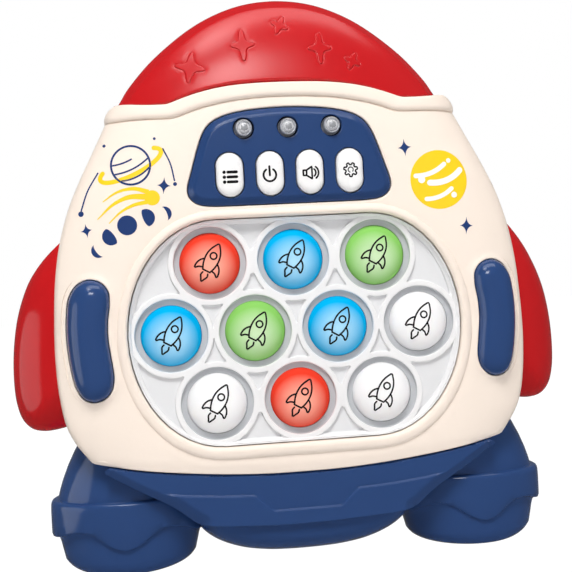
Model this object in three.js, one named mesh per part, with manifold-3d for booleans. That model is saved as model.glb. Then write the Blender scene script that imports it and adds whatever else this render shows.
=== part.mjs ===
// Electronic bubble pop game in the shape of a toy rocket, standing on two booster feet.
// Millimetres, +Z up, the player faces the -Y side. The group's origin is on the floor,
// midway between the feet.
import * as THREE from "three";
import { mergeVertices } from "three/addons/utils/BufferGeometryUtils.js";
import Module from "manifold-3d";

const wasm = await Module();
wasm.setup();

// ---------------------------------------------------------------- driving dimensions
const BUBBLE_PITCH = 26.0; // centre to centre of two bubbles in a row
const ROW_PITCH = 21.65; // between the three rows of bubbles
const BUBBLE_R = 9.4; // silicone bubble
const WELL_R = 11.1; // inside of the raised ring around each bubble
const RING_R = 12.95; // outside of that ring
const BUBBLE_TRAVEL = 3.5;
const BUTTON_TRAVEL = 1.2;
const WALL = 2.2; // casing wall
const GAP = 0.3; // assembly clearance
const PARTING_Y = 16; // plane where front and rear casings meet
const REAR_Y = 38; // flat of the back
const FLOOR_TO_WINDOW = 74; // floor to the middle row of bubbles
const DEPTH_MID = 16.1; // middle of the toy's depth, measured from the ring faces
const BUTTON_X = [-18.7, -6.2, 6.2, 18.7];
const BUTTON_Z = 48.3;
const LED_X = [-13.7, 0, 13.7];
const LED_Z = 62.5;
const SCREWS = [[-62, -27], [62, -27], [-61, 33], [61, 33], [-42, 59.5], [42, 59.5]];
const BATTERY_Z = [-12.2, -1.0, 10.2];

// ---------------------------------------------------------------- outlines, seen from the front (x, z)
// Right half of the cream casing, from the middle of the bottom edge to the middle of the top edge.
const CASING_HALF = [
  [0, -45.2], [20, -44.6], [38, -42.7], [54, -40.0], [63.5, -37.6], [66.6, -36.0], [70.4, -31.0],
  [73.0, -23], [74.6, -8], [74.4, 7], [73.2, 20], [70.4, 35], [64.2, 50], [59.0, 60.2], [55.0, 68.2],
  [51.3, 72.3], [38.8, 72.4], [26, 76.1], [13, 78.3], [0, 78.8],
];
const NOSE_HALF = [
  [0, 67], [24, 67], [46.5, 67], [48.2, 72.8], [51.1, 72.9], [48.7, 77.5], [41.7, 86],
  [30.6, 95.2], [19.4, 101.8], [8.5, 104.7], [0, 105.2],
];
const SIDE_WIDTH = [ // half width of the rocket against height
  [-50, 61], [-45, 63.5], [-38, 66.0], [-36, 66.6], [-32.2, 69.6], [-26.5, 72.2], [-17, 74.0], [-5, 74.7],
  [7, 74.4], [19, 73.5], [30, 71.8], [40.6, 68.4], [50, 64.2], [56.8, 60.7], [62.5, 57.8], [68.2, 55.0],
  [72.3, 51.3], [77.5, 48.7], [86, 41.7], [91.2, 36], [95.8, 29.8], [101.8, 19.4], [104.7, 8.5], [105.2, 0.5],
];
const PANEL_HALF = [
  [0, 39.0], [14, 39.0], [26, 39.3], [30.2, 40.8], [31.8, 43.6], [31.0, 47.5], [28.4, 55.6], [26.2, 60.8],
  [23.6, 64.2], [19.8, 66.5], [15.0, 67.7], [8, 68.5], [0, 68.8],
];
const SKIRT_HALF = [
  [0, -60.4], [12, -60.2], [23.5, -59.4], [33.6, -58.3], [35.4, -57.5], [40.7, -53.0], [45.5, -49.8],
  [50, -46.8], [60.3, -40.6], [58.5, -39.0], [48, -38.4], [36, -39.3], [24, -40.0], [12, -40.35], [0, -40.5],
];
const BELLY_HALF = [
  [0, -70.6], [10, -70.3], [19.5, -69.0], [26.5, -66.7], [31.6, -63.6], [34.2, -60.2], [34.9, -56], [34.9, -39.6],
  [24, -40.0], [12, -40.35], [0, -40.5],
];

const mirror = (half) => [...half, ...half.slice(1, -1).reverse().map(([x, z]) => [-x, z])];

// Oval window: flat top and bottom, elliptical ends.
function windowOutline(grow, n = 6) {
  const half = [[0, -35.1 - grow], [12, -35.1 - grow]];
  for (let i = 0; i <= n; i++) {
    const a = -Math.PI / 2 + (Math.PI * i) / n;
    half.push([24 + (28.4 + grow) * Math.cos(a), (35.1 + grow) * Math.sin(a)]);
  }
  half.push([12, 35.1 + grow], [0, 35.1 + grow]);
  return mirror(half);
}

// Capsule with its long side upright; bow pushes its middle sideways.
function capsule(cx, cz, r, half, bow = 0, n = 4, rows = 3) {
  const out = [];
  const at = (t) => cx + bow * (1 - t * t);
  for (let i = 0; i <= rows; i++) {
    const t = -1 + (2 * i) / rows;
    out.push([at(t) + r, cz + t * half]);
  }
  for (let i = 1; i < n; i++) {
    const a = (Math.PI * i) / n;
    out.push([at(1) + r * Math.cos(a), cz + half + r * Math.sin(a)]);
  }
  for (let i = 0; i <= rows; i++) {
    const t = 1 - (2 * i) / rows;
    out.push([at(t) - r, cz + t * half]);
  }
  for (let i = 1; i < n; i++) {
    const a = Math.PI + (Math.PI * i) / n;
    out.push([at(-1) + r * Math.cos(a), cz - half + r * Math.sin(a)]);
  }
  return out;
}

function lookup(table, z) {
  if (z <= table[0][0]) return table[0][1];
  for (let i = 1; i < table.length; i++)
    if (z <= table[i][0]) {
      const [a, va] = table[i - 1], [b, vb] = table[i];
      return va + ((vb - va) * (z - a)) / (b - a);
    }
  return table[table.length - 1][1];
}

// ---------------------------------------------------------------- surfaces
// How far a cross-section has rolled back at a share u of the half width.
const roll = (u, from) => {
  const t = Math.min(1, Math.max(0, (u - from) / (1 - from)));
  return 1 - Math.sqrt(Math.max(0, 1 - t * t));
};
const faceY0 = (z) => -2.0 + 0.0009 * Math.max(0, z - 35) ** 2;
const faceDrop = (z) => 7.0 + 0.045 * Math.min(75, Math.max(-45, z));
function faceY(x, z) { // outside of the front casing
  return faceY0(z) + faceDrop(z) * roll(Math.abs(x) / lookup(SIDE_WIDTH, z), 0.72);
}
function backY(x, z) { // outside of the rear casing
  return REAR_Y - 0.0006 * Math.max(0, z - 40) ** 2 - 9 * roll(Math.abs(x) / lookup(SIDE_WIDTH, z), 0.7);
}
function noseY(x, z) { // outside of the nose's front half
  const t = Math.min(1, Math.max(0, (z - 70) / 35.3));
  const mid = 2.3 + 10.7 * (1 - Math.pow(Math.max(0, 1 - Math.pow(t, 2.6)), 1 / 2.6));
  const u = Math.min(1, Math.abs(x) / Math.max(0.6, lookup(SIDE_WIDTH, z)));
  const dome = mid + (13.2 - mid) * (1 - Math.pow(Math.max(0, 1 - Math.pow(u, 2.8)), 1 / 2.8));
  return z < 79.5 ? Math.max(dome, faceY(x, z) + WALL + GAP) : dome;
}
function noseBackY(x, z) {
  const t = Math.min(1, Math.max(0, (z - 70) / 35.3));
  const mid = 34.6 - 13 * (1 - Math.pow(Math.max(0, 1 - Math.pow(t, 2.6)), 1 / 2.6));
  const u = Math.min(1, Math.abs(x) / Math.max(0.6, lookup(SIDE_WIDTH, z)));
  const dome = mid - (mid - 19) * (1 - Math.pow(Math.max(0, 1 - Math.pow(u, 2.8)), 1 / 2.8));
  return z < 79.5 ? Math.min(dome, backY(x, z) - WALL - GAP) : dome;
}

// ---------------------------------------------------------------- solids
function solid(geometry) {
  const g = geometry.index ? geometry.toNonIndexed() : geometry.clone();
  g.deleteAttribute("normal");
  g.deleteAttribute("uv");
  const m = mergeVertices(g, 1e-4), ix = m.index.array, keep = [];
  for (let i = 0; i < ix.length; i += 3)
    if (ix[i] !== ix[i + 1] && ix[i + 1] !== ix[i + 2] && ix[i] !== ix[i + 2]) keep.push(ix[i], ix[i + 1], ix[i + 2]);
  return new wasm.Manifold(new wasm.Mesh({
    numProp: 3, vertProperties: new Float32Array(m.attributes.position.array), triVerts: new Uint32Array(keep),
  }));
}

// Closed body through a stack of closed loops of equal length, with a fan over each end.
function loft(rings) {
  const n = rings[0].length, v = [], f = [];
  rings.forEach((r) => r.forEach((p) => v.push(...p)));
  const mid = (r) => r.reduce((s, p) => [s[0] + p[0] / n, s[1] + p[1] / n, s[2] + p[2] / n], [0, 0, 0]);
  const first = v.length / 3;
  v.push(...(rings.start || mid(rings[0])), ...(rings.end || mid(rings[rings.length - 1])));
  for (let k = 0; k < rings.length - 1; k++)
    for (let i = 0; i < n; i++) {
      const a = k * n + i, b = k * n + ((i + 1) % n), c = a + n, d = b + n;
      f.push(a, b, d, a, d, c);
    }
  const last = (rings.length - 1) * n;
  for (let i = 0; i < n; i++) {
    f.push(first, (i + 1) % n, i);
    f.push(first + 1, last + i, last + ((i + 1) % n));
  }
  let vol = 0;
  for (let i = 0; i < f.length; i += 3) {
    const [a, b, c] = [f[i], f[i + 1], f[i + 2]].map((k) => v.slice(3 * k, 3 * k + 3));
    vol += a[0] * (b[1] * c[2] - b[2] * c[1]) - a[1] * (b[0] * c[2] - b[2] * c[0]) + a[2] * (b[0] * c[1] - b[1] * c[0]);
  }
  if (vol < 0) for (let i = 0; i < f.length; i += 3) [f[i + 1], f[i + 2]] = [f[i + 2], f[i + 1]];
  const g = new THREE.BufferGeometry();
  g.setAttribute("position", new THREE.Float32BufferAttribute(v, 3));
  g.setIndex(f);
  return solid(g);
}

// Domed body over an outline: flat at yBack, with loops drawn in towards a centre and laid on a surface.
function dome(outline, centre, levels, yBack) {
  const rings = [outline.map(([x, z]) => [x, yBack, z])];
  for (const { s, y } of levels)
    rings.push(outline.map(([x, z]) => {
      const px = centre[0] + (x - centre[0]) * s, pz = centre[1] + (z - centre[1]) * s;
      return [px, y(px, pz), pz];
    }));
  rings.start = [centre[0], yBack, centre[1]];
  const lastY = levels[levels.length - 1].y;
  rings.end = [centre[0], lastY(...centre), centre[1]];
  return loft(rings);
}

// Straight body over an outline, from y0 to y1.
function prism(outline, y0, y1) {
  const shape = new THREE.Shape(outline.map(([x, z]) => new THREE.Vector2(x, z)));
  const g = new THREE.ExtrudeGeometry(shape, { depth: y1 - y0, bevelEnabled: false, steps: 1 });
  g.rotateX(Math.PI / 2);
  g.translate(0, y1, 0);
  return solid(g);
}

const box = (x0, y0, z0, x1, y1, z1) => {
  const g = new THREE.BoxGeometry(x1 - x0, y1 - y0, z1 - z0);
  g.translate((x0 + x1) / 2, (y0 + y1) / 2, (z0 + z1) / 2);
  return solid(g);
};

// Turned body about a line along Y through (x, z). Profile: [radius, y], on the axis at both ends.
function turned(profile, x, z, seg = 12) {
  const g = new THREE.LatheGeometry(profile.map(([r, y]) => new THREE.Vector2(r, y)), seg);
  g.translate(x, 0, z);
  const s = solid(g);
  if (s.volume() >= 0) return s;
  const back = new THREE.LatheGeometry([...profile].reverse().map(([r, y]) => new THREE.Vector2(r, y)), seg);
  back.translate(x, 0, z);
  return solid(back);
}
const rod = (x, z, r, y0, y1, seg = 12) => turned([[0, y0], [r, y0], [r, y1], [0, y1]], x, z, seg);

// Rod along X, for the batteries and their contacts.
function rodX(y, z, r, x0, x1, seg = 12) {
  const g = new THREE.CylinderGeometry(r, r, x1 - x0, seg);
  g.rotateZ(Math.PI / 2);
  g.translate((x0 + x1) / 2, y, z);
  return solid(g);
}

// Outline moved outwards by d, for convex-like loops listed anticlockwise.
function grown(outline, d) {
  const n = outline.length;
  return outline.map(([x, z], i) => {
    const [ax, az] = outline[(i + n - 1) % n], [bx, bz] = outline[(i + 1) % n];
    const e1 = [x - ax, z - az], e2 = [bx - x, bz - z];
    const l1 = Math.hypot(...e1), l2 = Math.hypot(...e2);
    const n1 = [e1[1] / l1, -e1[0] / l1], n2 = [e2[1] / l2, -e2[0] / l2];
    const m = [n1[0] + n2[0], n1[1] + n2[1]], l = Math.hypot(...m) || 1;
    const k = d / Math.max(0.5, (m[0] * n1[0] + m[1] * n1[1]) / l);
    return [x + (m[0] / l) * k, z + (m[1] / l) * k];
  });
}
const biggest = (s) => s.decompose().sort((a, b) => b.volume() - a.volume())[0];
const sum = (list) => list.reduce((a, b) => a.add(b));

// ---------------------------------------------------------------- casing volumes
const casing = mirror(CASING_HALF);
const CENTRE = [0, 12];
const S = [1, 0.97, 0.9, 0.78];
const S_IN = [1, 0.95, 0.8];
// The skirt tucks in below the casing behind the front face, from this line down.
const stepZ = (x) => -40.1 + 0.0009 * x * x;
const stepCut = (y0, y1, drop) => {
  const half = [];
  for (let x = 0; x <= 60; x += 12) half.push([x, stepZ(x) - drop]);
  const top = [...half].reverse();
  const outline = [[-72, -60], [72, -60], [72, -37.0 - drop], ...top, ...half.slice(1).map(([x, z]) => [-x, z]), [-72, -37.0 - drop]];
  return prism(outline, y0, y1);
};
function frontVolume(g) {
  const o = grown(casing, g);
  return dome(o, CENTRE, S.map((s) => ({ s, y: (x, z) => faceY(x, z) - g })), PARTING_Y - 0.15 + g);
}
function rearVolume(g) {
  const o = grown(casing, g);
  return dome(o, CENTRE, S.map((s) => ({ s, y: (x, z) => backY(x, z) + g })), PARTING_Y + 0.15 - g);
}
// Inside of the casing: open to the nose at the top.
const insideHalf = [
  [0, stepZ(0) + WALL], [24, stepZ(24) + WALL], [48, stepZ(48) + WALL], [60, -34.4], [67.4, -30.2], [70.6, -22],
  [72.4, -7.5], [72.2, 6.5], [71.0, 19], [68.2, 34], [62.1, 48.6], [57.0, 58.4], [52.0, 66.2], [49.3, 69.2],
  [49.3, 84], [0, 86],
];
const inside = mirror(insideHalf);
const frontInside = dome(inside, CENTRE, S_IN.map((s) => ({ s, y: (x, z) => faceY(x * 1.015, z) + WALL })), PARTING_Y + 1);
const rearInside = dome(inside, CENTRE, S_IN.map((s) => ({ s, y: (x, z) => backY(x * 1.015, z) - WALL })), PARTING_Y - 1);

const bubbleAt = [];
for (const x of [-1, 0, 1]) bubbleAt.push([x * BUBBLE_PITCH, ROW_PITCH]);
for (const x of [-1.5, -0.5, 0.5, 1.5]) bubbleAt.push([x * BUBBLE_PITCH, 0]);
for (const x of [-1, 0, 1]) bubbleAt.push([x * BUBBLE_PITCH, -ROW_PITCH]);

// ---------------------------------------------------------------- front casing
const handleOutline = (side, g) => {
  const o = capsule(62.7, 0, 6.3 + g, 12.2, 1.5);
  return side > 0 ? o : o.map(([x, z]) => [-x, z]).reverse();
};
const bezel = prism(windowOutline(4.0), -3.1, -1.0).subtract(prism(windowOutline(0.9), -5, 3));
let front = frontVolume(0).subtract(stepCut(0.5, 40, 0)).subtract(frontInside);
front = front.add(bezel);
const panel = mirror(PANEL_HALF);
for (const [x, z] of SCREWS)
  front = front.add(rod(x, z, 3.4, faceY(x, z) + 1, PARTING_Y - 0.4, 8)).subtract(rod(x, z, 1.6, 6, 20, 6));
front = front.subtract(prism(windowOutline(0), -8, 6)).subtract(prism(grown(panel, GAP), -8, 6));
for (const side of [-1, 1]) front = front.subtract(prism(handleOutline(side, GAP), -8, 6));
front = biggest(front);

// ---------------------------------------------------------------- rear casing
let rear = rearVolume(0).subtract(stepCut(0, 60, 0)).subtract(rearInside);
const DOOR = { x: 28, z0: -28, z1: 19.5, y0: 36.2 };
const rect = (x, z0, z1, r) => mirror([[0, z0], [x - r, z0], [x, z0 + r], [x, z1 - r], [x - r, z1], [0, z1]]);
for (const [x, z] of SCREWS) {
  rear = rear.add(rod(x, z, 4.6, PARTING_Y + 0.4, backY(x, z) - 1, 8));
  rear = rear.subtract(rod(x, z, 3.3, 19.4, 45, 8)).subtract(rod(x, z, 1.7, 10, 25, 6));
}
rear = rear.subtract(prism(rect(DOOR.x + GAP, DOOR.z0 - GAP, DOOR.z1 + GAP, 3), 34, 45));
for (const i of [-2, -1, 0, 1, 2]) rear = rear.subtract(prism(capsule(i * 4.4, 45, 1.0, 9.5 - 1.7 * i * i, 0, 3, 1), 30, 45));
rear = biggest(rear);

// ---------------------------------------------------------------- nose
const nose = mirror(NOSE_HALF);
const NC = [0, 80];
const NS = [1, 0.97, 0.88, 0.7, 0.4];
const NS_IN = [1, 0.92, 0.7];
const scaleOutline = (o, c, k) => o.map(([x, z]) => [c[0] + (x - c[0]) * k, c[1] + (z - c[1]) * k]);
const noseInside = scaleOutline(nose, NC, 0.94).map(([x, z]) => [x, z < 74 ? 60 : z]);
let noseFront = dome(nose, NC, NS.map((s) => ({ s, y: noseY })), PARTING_Y - 0.15)
  .subtract(dome(noseInside, NC, NS_IN.map((s) => ({ s, y: (x, z) => noseY(x * 1.06, NC[1] + (z - NC[1]) * 1.06) + 2 })), PARTING_Y + 1));
let noseRear = dome(nose, NC, NS.map((s) => ({ s, y: noseBackY })), PARTING_Y + 0.15)
  .subtract(dome(noseInside, NC, NS_IN.map((s) => ({ s, y: (x, z) => noseBackY(x * 1.06, NC[1] + (z - NC[1]) * 1.06) - 2 })), PARTING_Y - 1));
// Where the nose tucks into the casing it keeps clear of the casing's wall.
const tuck = grown(inside, -GAP);
noseFront = biggest(noseFront.subtract(frontVolume(GAP).subtract(
  dome(tuck, CENTRE, S_IN.map((s) => ({ s, y: (x, z) => faceY(x * 1.015, z) + WALL + GAP })), PARTING_Y + 1))));
noseRear = biggest(noseRear.subtract(rearVolume(GAP).subtract(
  dome(tuck, CENTRE, S_IN.map((s) => ({ s, y: (x, z) => backY(x * 1.015, z) - WALL - GAP })), PARTING_Y - 1))));

// ---------------------------------------------------------------- fins
const FIN_EDGE = [[32, 71.5], [26, 77.6], [19, 82.3], [9.2, 86.2], [-2, 88.5], [-12.8, 88.7], [-21, 87.6], [-26.4, 84.4], [-28.4, 79.5]];
// One crescent: sections across the edge, rounded front and back, opening into the casing side.
function fin(side) {
  const level = (wall) => FIN_EDGE.map(([z, x]) => {
    const edge = x - wall, inner = 62 - wall, half = Math.min(9.5, 2.4 + (x - 71) * 0.75) - wall * 0.9, ring = [];
    for (let i = 0; i <= 6; i++) {
      const a = (Math.PI * i) / 6;
      ring.push([side * (inner + (edge - inner) * Math.pow(Math.sin(a), 0.55)), 17 - half * Math.cos(a), z - Math.sign(z - 2) * wall]);
    }
    return ring;
  });
  const s = loft(level(0)).subtract(loft(level(2)))
    .subtract(frontVolume(GAP)).subtract(rearVolume(GAP)).subtract(box(-70, -20, -80, 70, 60, 110));
  return biggest(s);
}

// ---------------------------------------------------------------- feet
const WAVE = [[34, -62.4], [39.5, -60.1], [43.8, -59.7], [47.8, -61.2], [51.6, -63.8], [56.5, -65.6], [61.3, -64.2], [64.8, -61.5], [68.9, -59.9], [72.6, -60.0], [79, -62.0]];
const wave = (x) => lookup(WAVE, x);
// height, left edge, right edge, half depth, and whether the lower rim of the band waves
const FOOT = [
  { z: -74.0, l: 45.5, r: 68.5, d: 11.0 },
  { z: -72.6, l: 41.2, r: 72.2, d: 14.6 },
  { z: -69.0, l: 36.8, r: 76.2, d: 17.4 },
  { z: -62.2, l: 34.6, r: 78.6, d: 18.8, wave: -0.4 },
  { z: -61.2, l: 33.6, r: 80.0, d: 20.0, wave: 0.5 },
  { z: -56, l: 33.4, r: 80.3, d: 20.0 },
  { z: -51.0, l: 34.4, r: 79.6, d: 19.2 },
  { z: -50.2, l: 35.4, r: 78.3, d: 17.6 },
  { z: -42.1, l: 38, r: 75.4, d: 14.8 },
  { z: -31.0, l: 48, r: 69.6, d: 11.0 },
];
function footBody(wall, side, n = 16) {
  const table = wall ? FOOT.filter((f) => f.wave === undefined && f.z !== -72.6) : FOOT;
  return loft(table.map((f) => {
    const cx = (f.l + f.r) / 2, a = (f.r - f.l) / 2 - wall, b = f.d - wall, ring = [];
    for (let i = 0; i < n; i++) {
      const t = (2 * Math.PI * i) / n, c = Math.cos(t), s = Math.sin(t);
      const x = cx + a * Math.sign(c) * Math.pow(Math.abs(c), 0.8), y = 17.5 + b * Math.sign(s) * Math.pow(Math.abs(s), 0.8);
      ring.push([side * x, y, f.wave !== undefined ? wave(x) + f.wave : f.z + (f.z < -73 ? wall : f.z > -33 ? 2 * wall : 0)]);
    }
    return ring;
  }));
}
const skirt = mirror(SKIRT_HALF);
const belly = mirror(BELLY_HALF);
const casingVolume = frontVolume(GAP).subtract(stepCut(0.2, 40, GAP)).add(rearVolume(GAP).subtract(stepCut(-20, 60, GAP)));
function foot(side) {
  let s = footBody(0, side).subtract(footBody(2.4, side));
  s = s.subtract(casingVolume).subtract(prism(grown(skirt, 0.4), -12, 4.6)).subtract(box(-35.3, -20, -62.5, 35.3, 60, 0));
  return biggest(s);
}

// ---------------------------------------------------------------- skirt and belly
const bow = (x) => 0.0006 * x * x;
// The lower part stands proud of the rest, up to a stepped line across the skirt.
const RELIEF_HALF = [[0, -60.2], [23.5, -59.2], [33.4, -58.1], [40.7, -52.8], [48.6, -46.9], [37.2, -48.6], [16.6, -50.4], [10, -55.6], [0, -55.6]];
const skirtSolid = dome(skirt, [0, -50], [{ s: 1, y: (x) => 2.4 + bow(x) }, { s: 0.97, y: (x) => 1.5 + bow(x) }], 4.2)
  .add(dome(mirror(RELIEF_HALF), [0, -58], [{ s: 1, y: (x) => 1.0 + bow(x) }, { s: 0.97, y: (x) => 0.6 + bow(x) }], 3.2));
let bellyOuter = dome(belly, [0, -52], [{ s: 1, y: () => 9 }, { s: 0.98, y: () => 6.2 }, { s: 0.92, y: () => 5.0 }], 17);
bellyOuter = bellyOuter.add(dome(belly, [0, -52], [{ s: 1, y: () => 28 }, { s: 0.98, y: () => 32 }, { s: 0.92, y: () => 33.4 }], 16));
const bellyInner = prism(mirror(BELLY_HALF.map(([x, z]) => [Math.min(x, 32.6), z < -45 ? z + 2.4 : z + 3])), 7.2, 31);
const bellySolid = biggest(bellyOuter.subtract(bellyInner));

// ---------------------------------------------------------------- window insert with its ring of wells
let ringPlate = prism(windowOutline(1.7), 2.6, 4.5);
ringPlate = ringPlate.add(prism(windowOutline(-0.4), -1.4, 3.0).subtract(prism(windowOutline(-1.9), -5, 2.2)));
const windowInner = prism(windowOutline(-0.45), -5, 10);
for (const [x, z] of bubbleAt) {
  const ring = rod(x, z, RING_R, 0, 3);
  ringPlate = ringPlate.add(x && z ? ring.intersect(windowInner) : ring);
}
for (const [x, z] of bubbleAt) ringPlate = ringPlate.subtract(rod(x, z, WELL_R, -4, 3.0)).subtract(rod(x, z, BUBBLE_R + 0.35, -4, 9));
ringPlate = biggest(ringPlate);

let lightFrame = prism(windowOutline(1.6), 4.8, 11.6);
for (const [x, z] of bubbleAt) lightFrame = lightFrame.subtract(rod(x, z, 11.3, 0, 20));

let mainBoard = prism(windowOutline(1.0, 4), 12.0, 13.6);
for (const [x, z] of bubbleAt) mainBoard = mainBoard.add(box(x - 3, 10.2, z - 3, x + 3, 12.5, z + 3));

const bubble = ([x, z]) => turned([
  [0, -2.4], [5.0, -1.5], [8.3, 0.5], [BUBBLE_R, 2.8], [BUBBLE_R, 4.8], [10.8, 4.8], [10.8, 5.8], [7.8, 5.8], [7.4, 2.6], [2.2, 0.4], [2.0, 6.0], [0, 6.0],
], x, z);

// ---------------------------------------------------------------- control panel
const panelY = (x, z) => faceY0(z) - 0.75;
let controlPanel = dome(panel, [0, 53], [{ s: 1, y: (x, z) => panelY(x, z) + 0.9 }, { s: 0.96, y: panelY }], 0.4);
for (const x of BUTTON_X) controlPanel = controlPanel.subtract(prism(capsule(x, BUTTON_Z, 4.6, 2.6, 0, 5, 1), -8, 6));
for (const x of LED_X) controlPanel = controlPanel.subtract(rod(x, LED_Z, 3.35, -8, 6, 10));
const pill = (x) => dome(capsule(x, BUTTON_Z, 4.25, 2.6, 0, 5, 1), [x, BUTTON_Z], [{ s: 1, y: () => -3.5 }, { s: 0.9, y: () => -4.3 }], 2.0)
  .add(prism(capsule(x, BUTTON_Z, 5.2, 2.6, 0, 5, 1), 0.7, 1.7));
const led = (x) => turned([[0, -5.2], [1.9, -4.4], [2.75, -2.6], [2.75, 2.0], [3.05, 2.0], [3.05, 3.1], [0, 3.1]], x, LED_Z, 10)
  .add(box(x - 1.5, 3, LED_Z - 0.3, x - 0.9, 4.7, LED_Z + 0.3)).add(box(x + 0.9, 3, LED_Z - 0.3, x + 1.5, 4.7, LED_Z + 0.3));
const keypad = sum([prism(rect(25.5, 41.5, 56, 2), 4.0, 4.7), ...BUTTON_X.map((x) => rod(x, BUTTON_Z, 3.2, 3.3, 4.4, 8))]);
const controlBoard = prism(rect(27, 40, 67, 2.5), 5.0, 6.6);

// ---------------------------------------------------------------- grips
const grip = (side) => {
  const c = [side * 63.6, 0], o = handleOutline(side, 0), f = side > 0 ? handleOutline(1, -1.6) : handleOutline(-1, -1.6);
  const y = (k) => (x, z) => faceY(side * 63.6, 0) - k;
  return dome(o, c, [{ s: 1, y: y(1.6) }, { s: 0.92, y: y(3.4) }, { s: 0.7, y: y(4.6) }], 1.9).add(prism(f, 1.5, 4.2));
};

// ---------------------------------------------------------------- speaker, batteries, door, fasteners
const speaker = turned([[0, 24.6], [7, 24.6], [7, 28.4], [13.6, 31.5], [14.6, 31.5], [14.6, 34.2], [13.2, 34.2], [4.5, 32.4], [0, 33.2]], 0, 45, 14);
let batteryBox = box(-26.6, 23.2, -19.6, 26.6, 35.6, 17.6).subtract(box(-25, 24.7, -18, 25, 40, 16));
batteryBox = batteryBox.add(rod(0, -23.2, 3.4, 23.2, 33.8, 8)).add(box(-1.2, 23.2, -22, 1.2, 33.8, -19)).subtract(rod(0, -23.2, 1.6, 26, 40, 6));
const battery = (i) => {
  const d = i % 2 ? -1 : 1;
  return rodX(30.3, BATTERY_Z[i], 5.1, -21.4, 21.4, 14).add(d > 0 ? rodX(30.3, BATTERY_Z[i], 1.9, 21, 22.3, 8) : rodX(30.3, BATTERY_Z[i], 1.9, -22.3, -21, 8));
};
const contact = (side) => {
  let s = side < 0 ? box(-24.7, 25.4, -17.2, -24.2, 35.0, 15.2) : box(24.2, 25.4, -17.2, 24.7, 35.0, 15.2);
  BATTERY_Z.forEach((z, i) => {
    const nub = (i % 2 ? -1 : 1) === side, end = nub ? 22.7 : 21.8;
    s = s.add(side < 0 ? rodX(30.3, z, nub ? 1.4 : 2.8, -24.4, -end, 8) : rodX(30.3, z, nub ? 1.4 : 2.8, end, 24.4, 8));
  });
  return s;
};
let door = prism(rect(DOOR.x, DOOR.z0, DOOR.z1, 3), DOOR.y0, REAR_Y).add(rod(0, -23.2, 3.3, 34.2, 36.8, 8));
door = door.subtract(rod(0, -23.2, 2.8, 36.1, 45, 8)).subtract(rod(0, -23.2, 1.7, 30, 45, 6)).subtract(box(-7, 37.2, 14.6, 7, 40, 16.6));
const screw = (x, z, head, tip, r, shank) => turned([[0, tip], [shank, tip + 1.5], [shank, head - 1.6], [r, head - 1.6], [r * 0.86, head], [0, head]], x, z, 8);

function lead(points) {
  const curve = new THREE.CatmullRomCurve3(points.map((p) => new THREE.Vector3(...p)));
  const section = new THREE.Shape();
  for (let i = 0; i < 6; i++) {
    const a = (Math.PI * 2 * i) / 6;
    if (i) section.lineTo(0.7 * Math.cos(a), 0.7 * Math.sin(a)); else section.moveTo(0.7, 0);
  }
  return solid(new THREE.ExtrudeGeometry(section, { steps: 6, extrudePath: curve, bevelEnabled: false }));
}

// ---------------------------------------------------------------- materials
const paint = (color, roughness, metalness = 0, extra = {}) => new THREE.MeshStandardMaterial({ color, roughness, metalness, ...extra });
const cream = paint(0xfbeedd, 0.42), red = paint(0xcf2b2e, 0.22), blue = paint(0x2c4a85, 0.24), grey = paint(0xe4e6e9, 0.45);
const white = paint(0xfafafa, 0.35), clear = paint(0xe8eef2, 0.05, 0, { transparent: true, opacity: 0.5 }), steel = paint(0xb8bcc2, 0.3, 1);
const pcb = paint(0x1f6b3a, 0.5), black = paint(0x202225, 0.6), rubber = paint(0x9a9da1, 0.8);
const glow = { r: paint(0xff5a45, 0.3), b: paint(0x47b9f5, 0.3), g: paint(0x92d86f, 0.3), w: paint(0xf7f7f7, 0.3) };

// ---------------------------------------------------------------- assembly
const toy = new THREE.Group();
const assembly = new THREE.Group();
assembly.position.set(0, -DEPTH_MID, FLOOR_TO_WINDOW);
toy.add(assembly);
function piece(name, body, material) {
  const m = body.getMesh(), g = new THREE.BufferGeometry();
  g.setAttribute("position", new THREE.BufferAttribute(new Float32Array(m.vertProperties), 3));
  g.setIndex(new THREE.BufferAttribute(new Uint32Array(m.triVerts), 1));
  g.computeVertexNormals();
  const mesh = new THREE.Mesh(g, material);
  mesh.name = name;
  assembly.add(mesh);
}

piece("front_shell", front, cream);
piece("rear_shell", rear, cream);
piece("nose_front", noseFront, red);
piece("nose_rear", noseRear, red);
piece("left_fin", fin(-1), red);
piece("right_fin", fin(1), red);
piece("left_foot", foot(-1), blue);
piece("right_foot", foot(1), blue);
piece("base_skirt", skirtSolid, blue);
piece("belly", bellySolid, blue);
piece("left_grip", grip(-1), blue);
piece("right_grip", grip(1), blue);
piece("control_panel", controlPanel, blue);
["menu_button", "power_button", "volume_button", "settings_button"].forEach((n, i) => piece(n, pill(BUTTON_X[i]), white));
["led_left", "led_middle", "led_right"].forEach((n, i) => piece(n, led(LED_X[i]), clear));
piece("keypad", keypad, rubber);
piece("control_board", controlBoard, pcb);
piece("ring_plate", ringPlate, grey);
bubbleAt.forEach((p, i) => piece("bubble_" + (i + 1), bubble(p), glow["rbgbgbwwrw"[i]]));
piece("light_frame", lightFrame, black);
piece("main_board", mainBoard, pcb);
piece("speaker", speaker, black);
piece("battery_box", batteryBox, cream);
[0, 1, 2].forEach((i) => piece("battery_" + (i + 1), battery(i), steel));
piece("battery_contact_left", contact(-1), steel);
piece("battery_contact_right", contact(1), steel);
piece("battery_door", door, cream);
piece("battery_door_screw", screw(0, -23.2, 37.9, 28, 2.4, 1.2), steel);
SCREWS.forEach(([x, z], i) => piece("case_screw_" + (i + 1), screw(x, z, 21.4, 7.5, 2.6, 1.2), steel));
piece("power_lead", lead([[20, 22.3, 10], [20, 19.5, 15], [19, 17, 19], [18, 14.5, 21]]), red);
piece("speaker_lead", lead([[-8, 26.6, 45], [-12, 22, 38], [-14, 18, 31], [-14, 14.5, 27]]), black);

export default toy;
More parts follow.
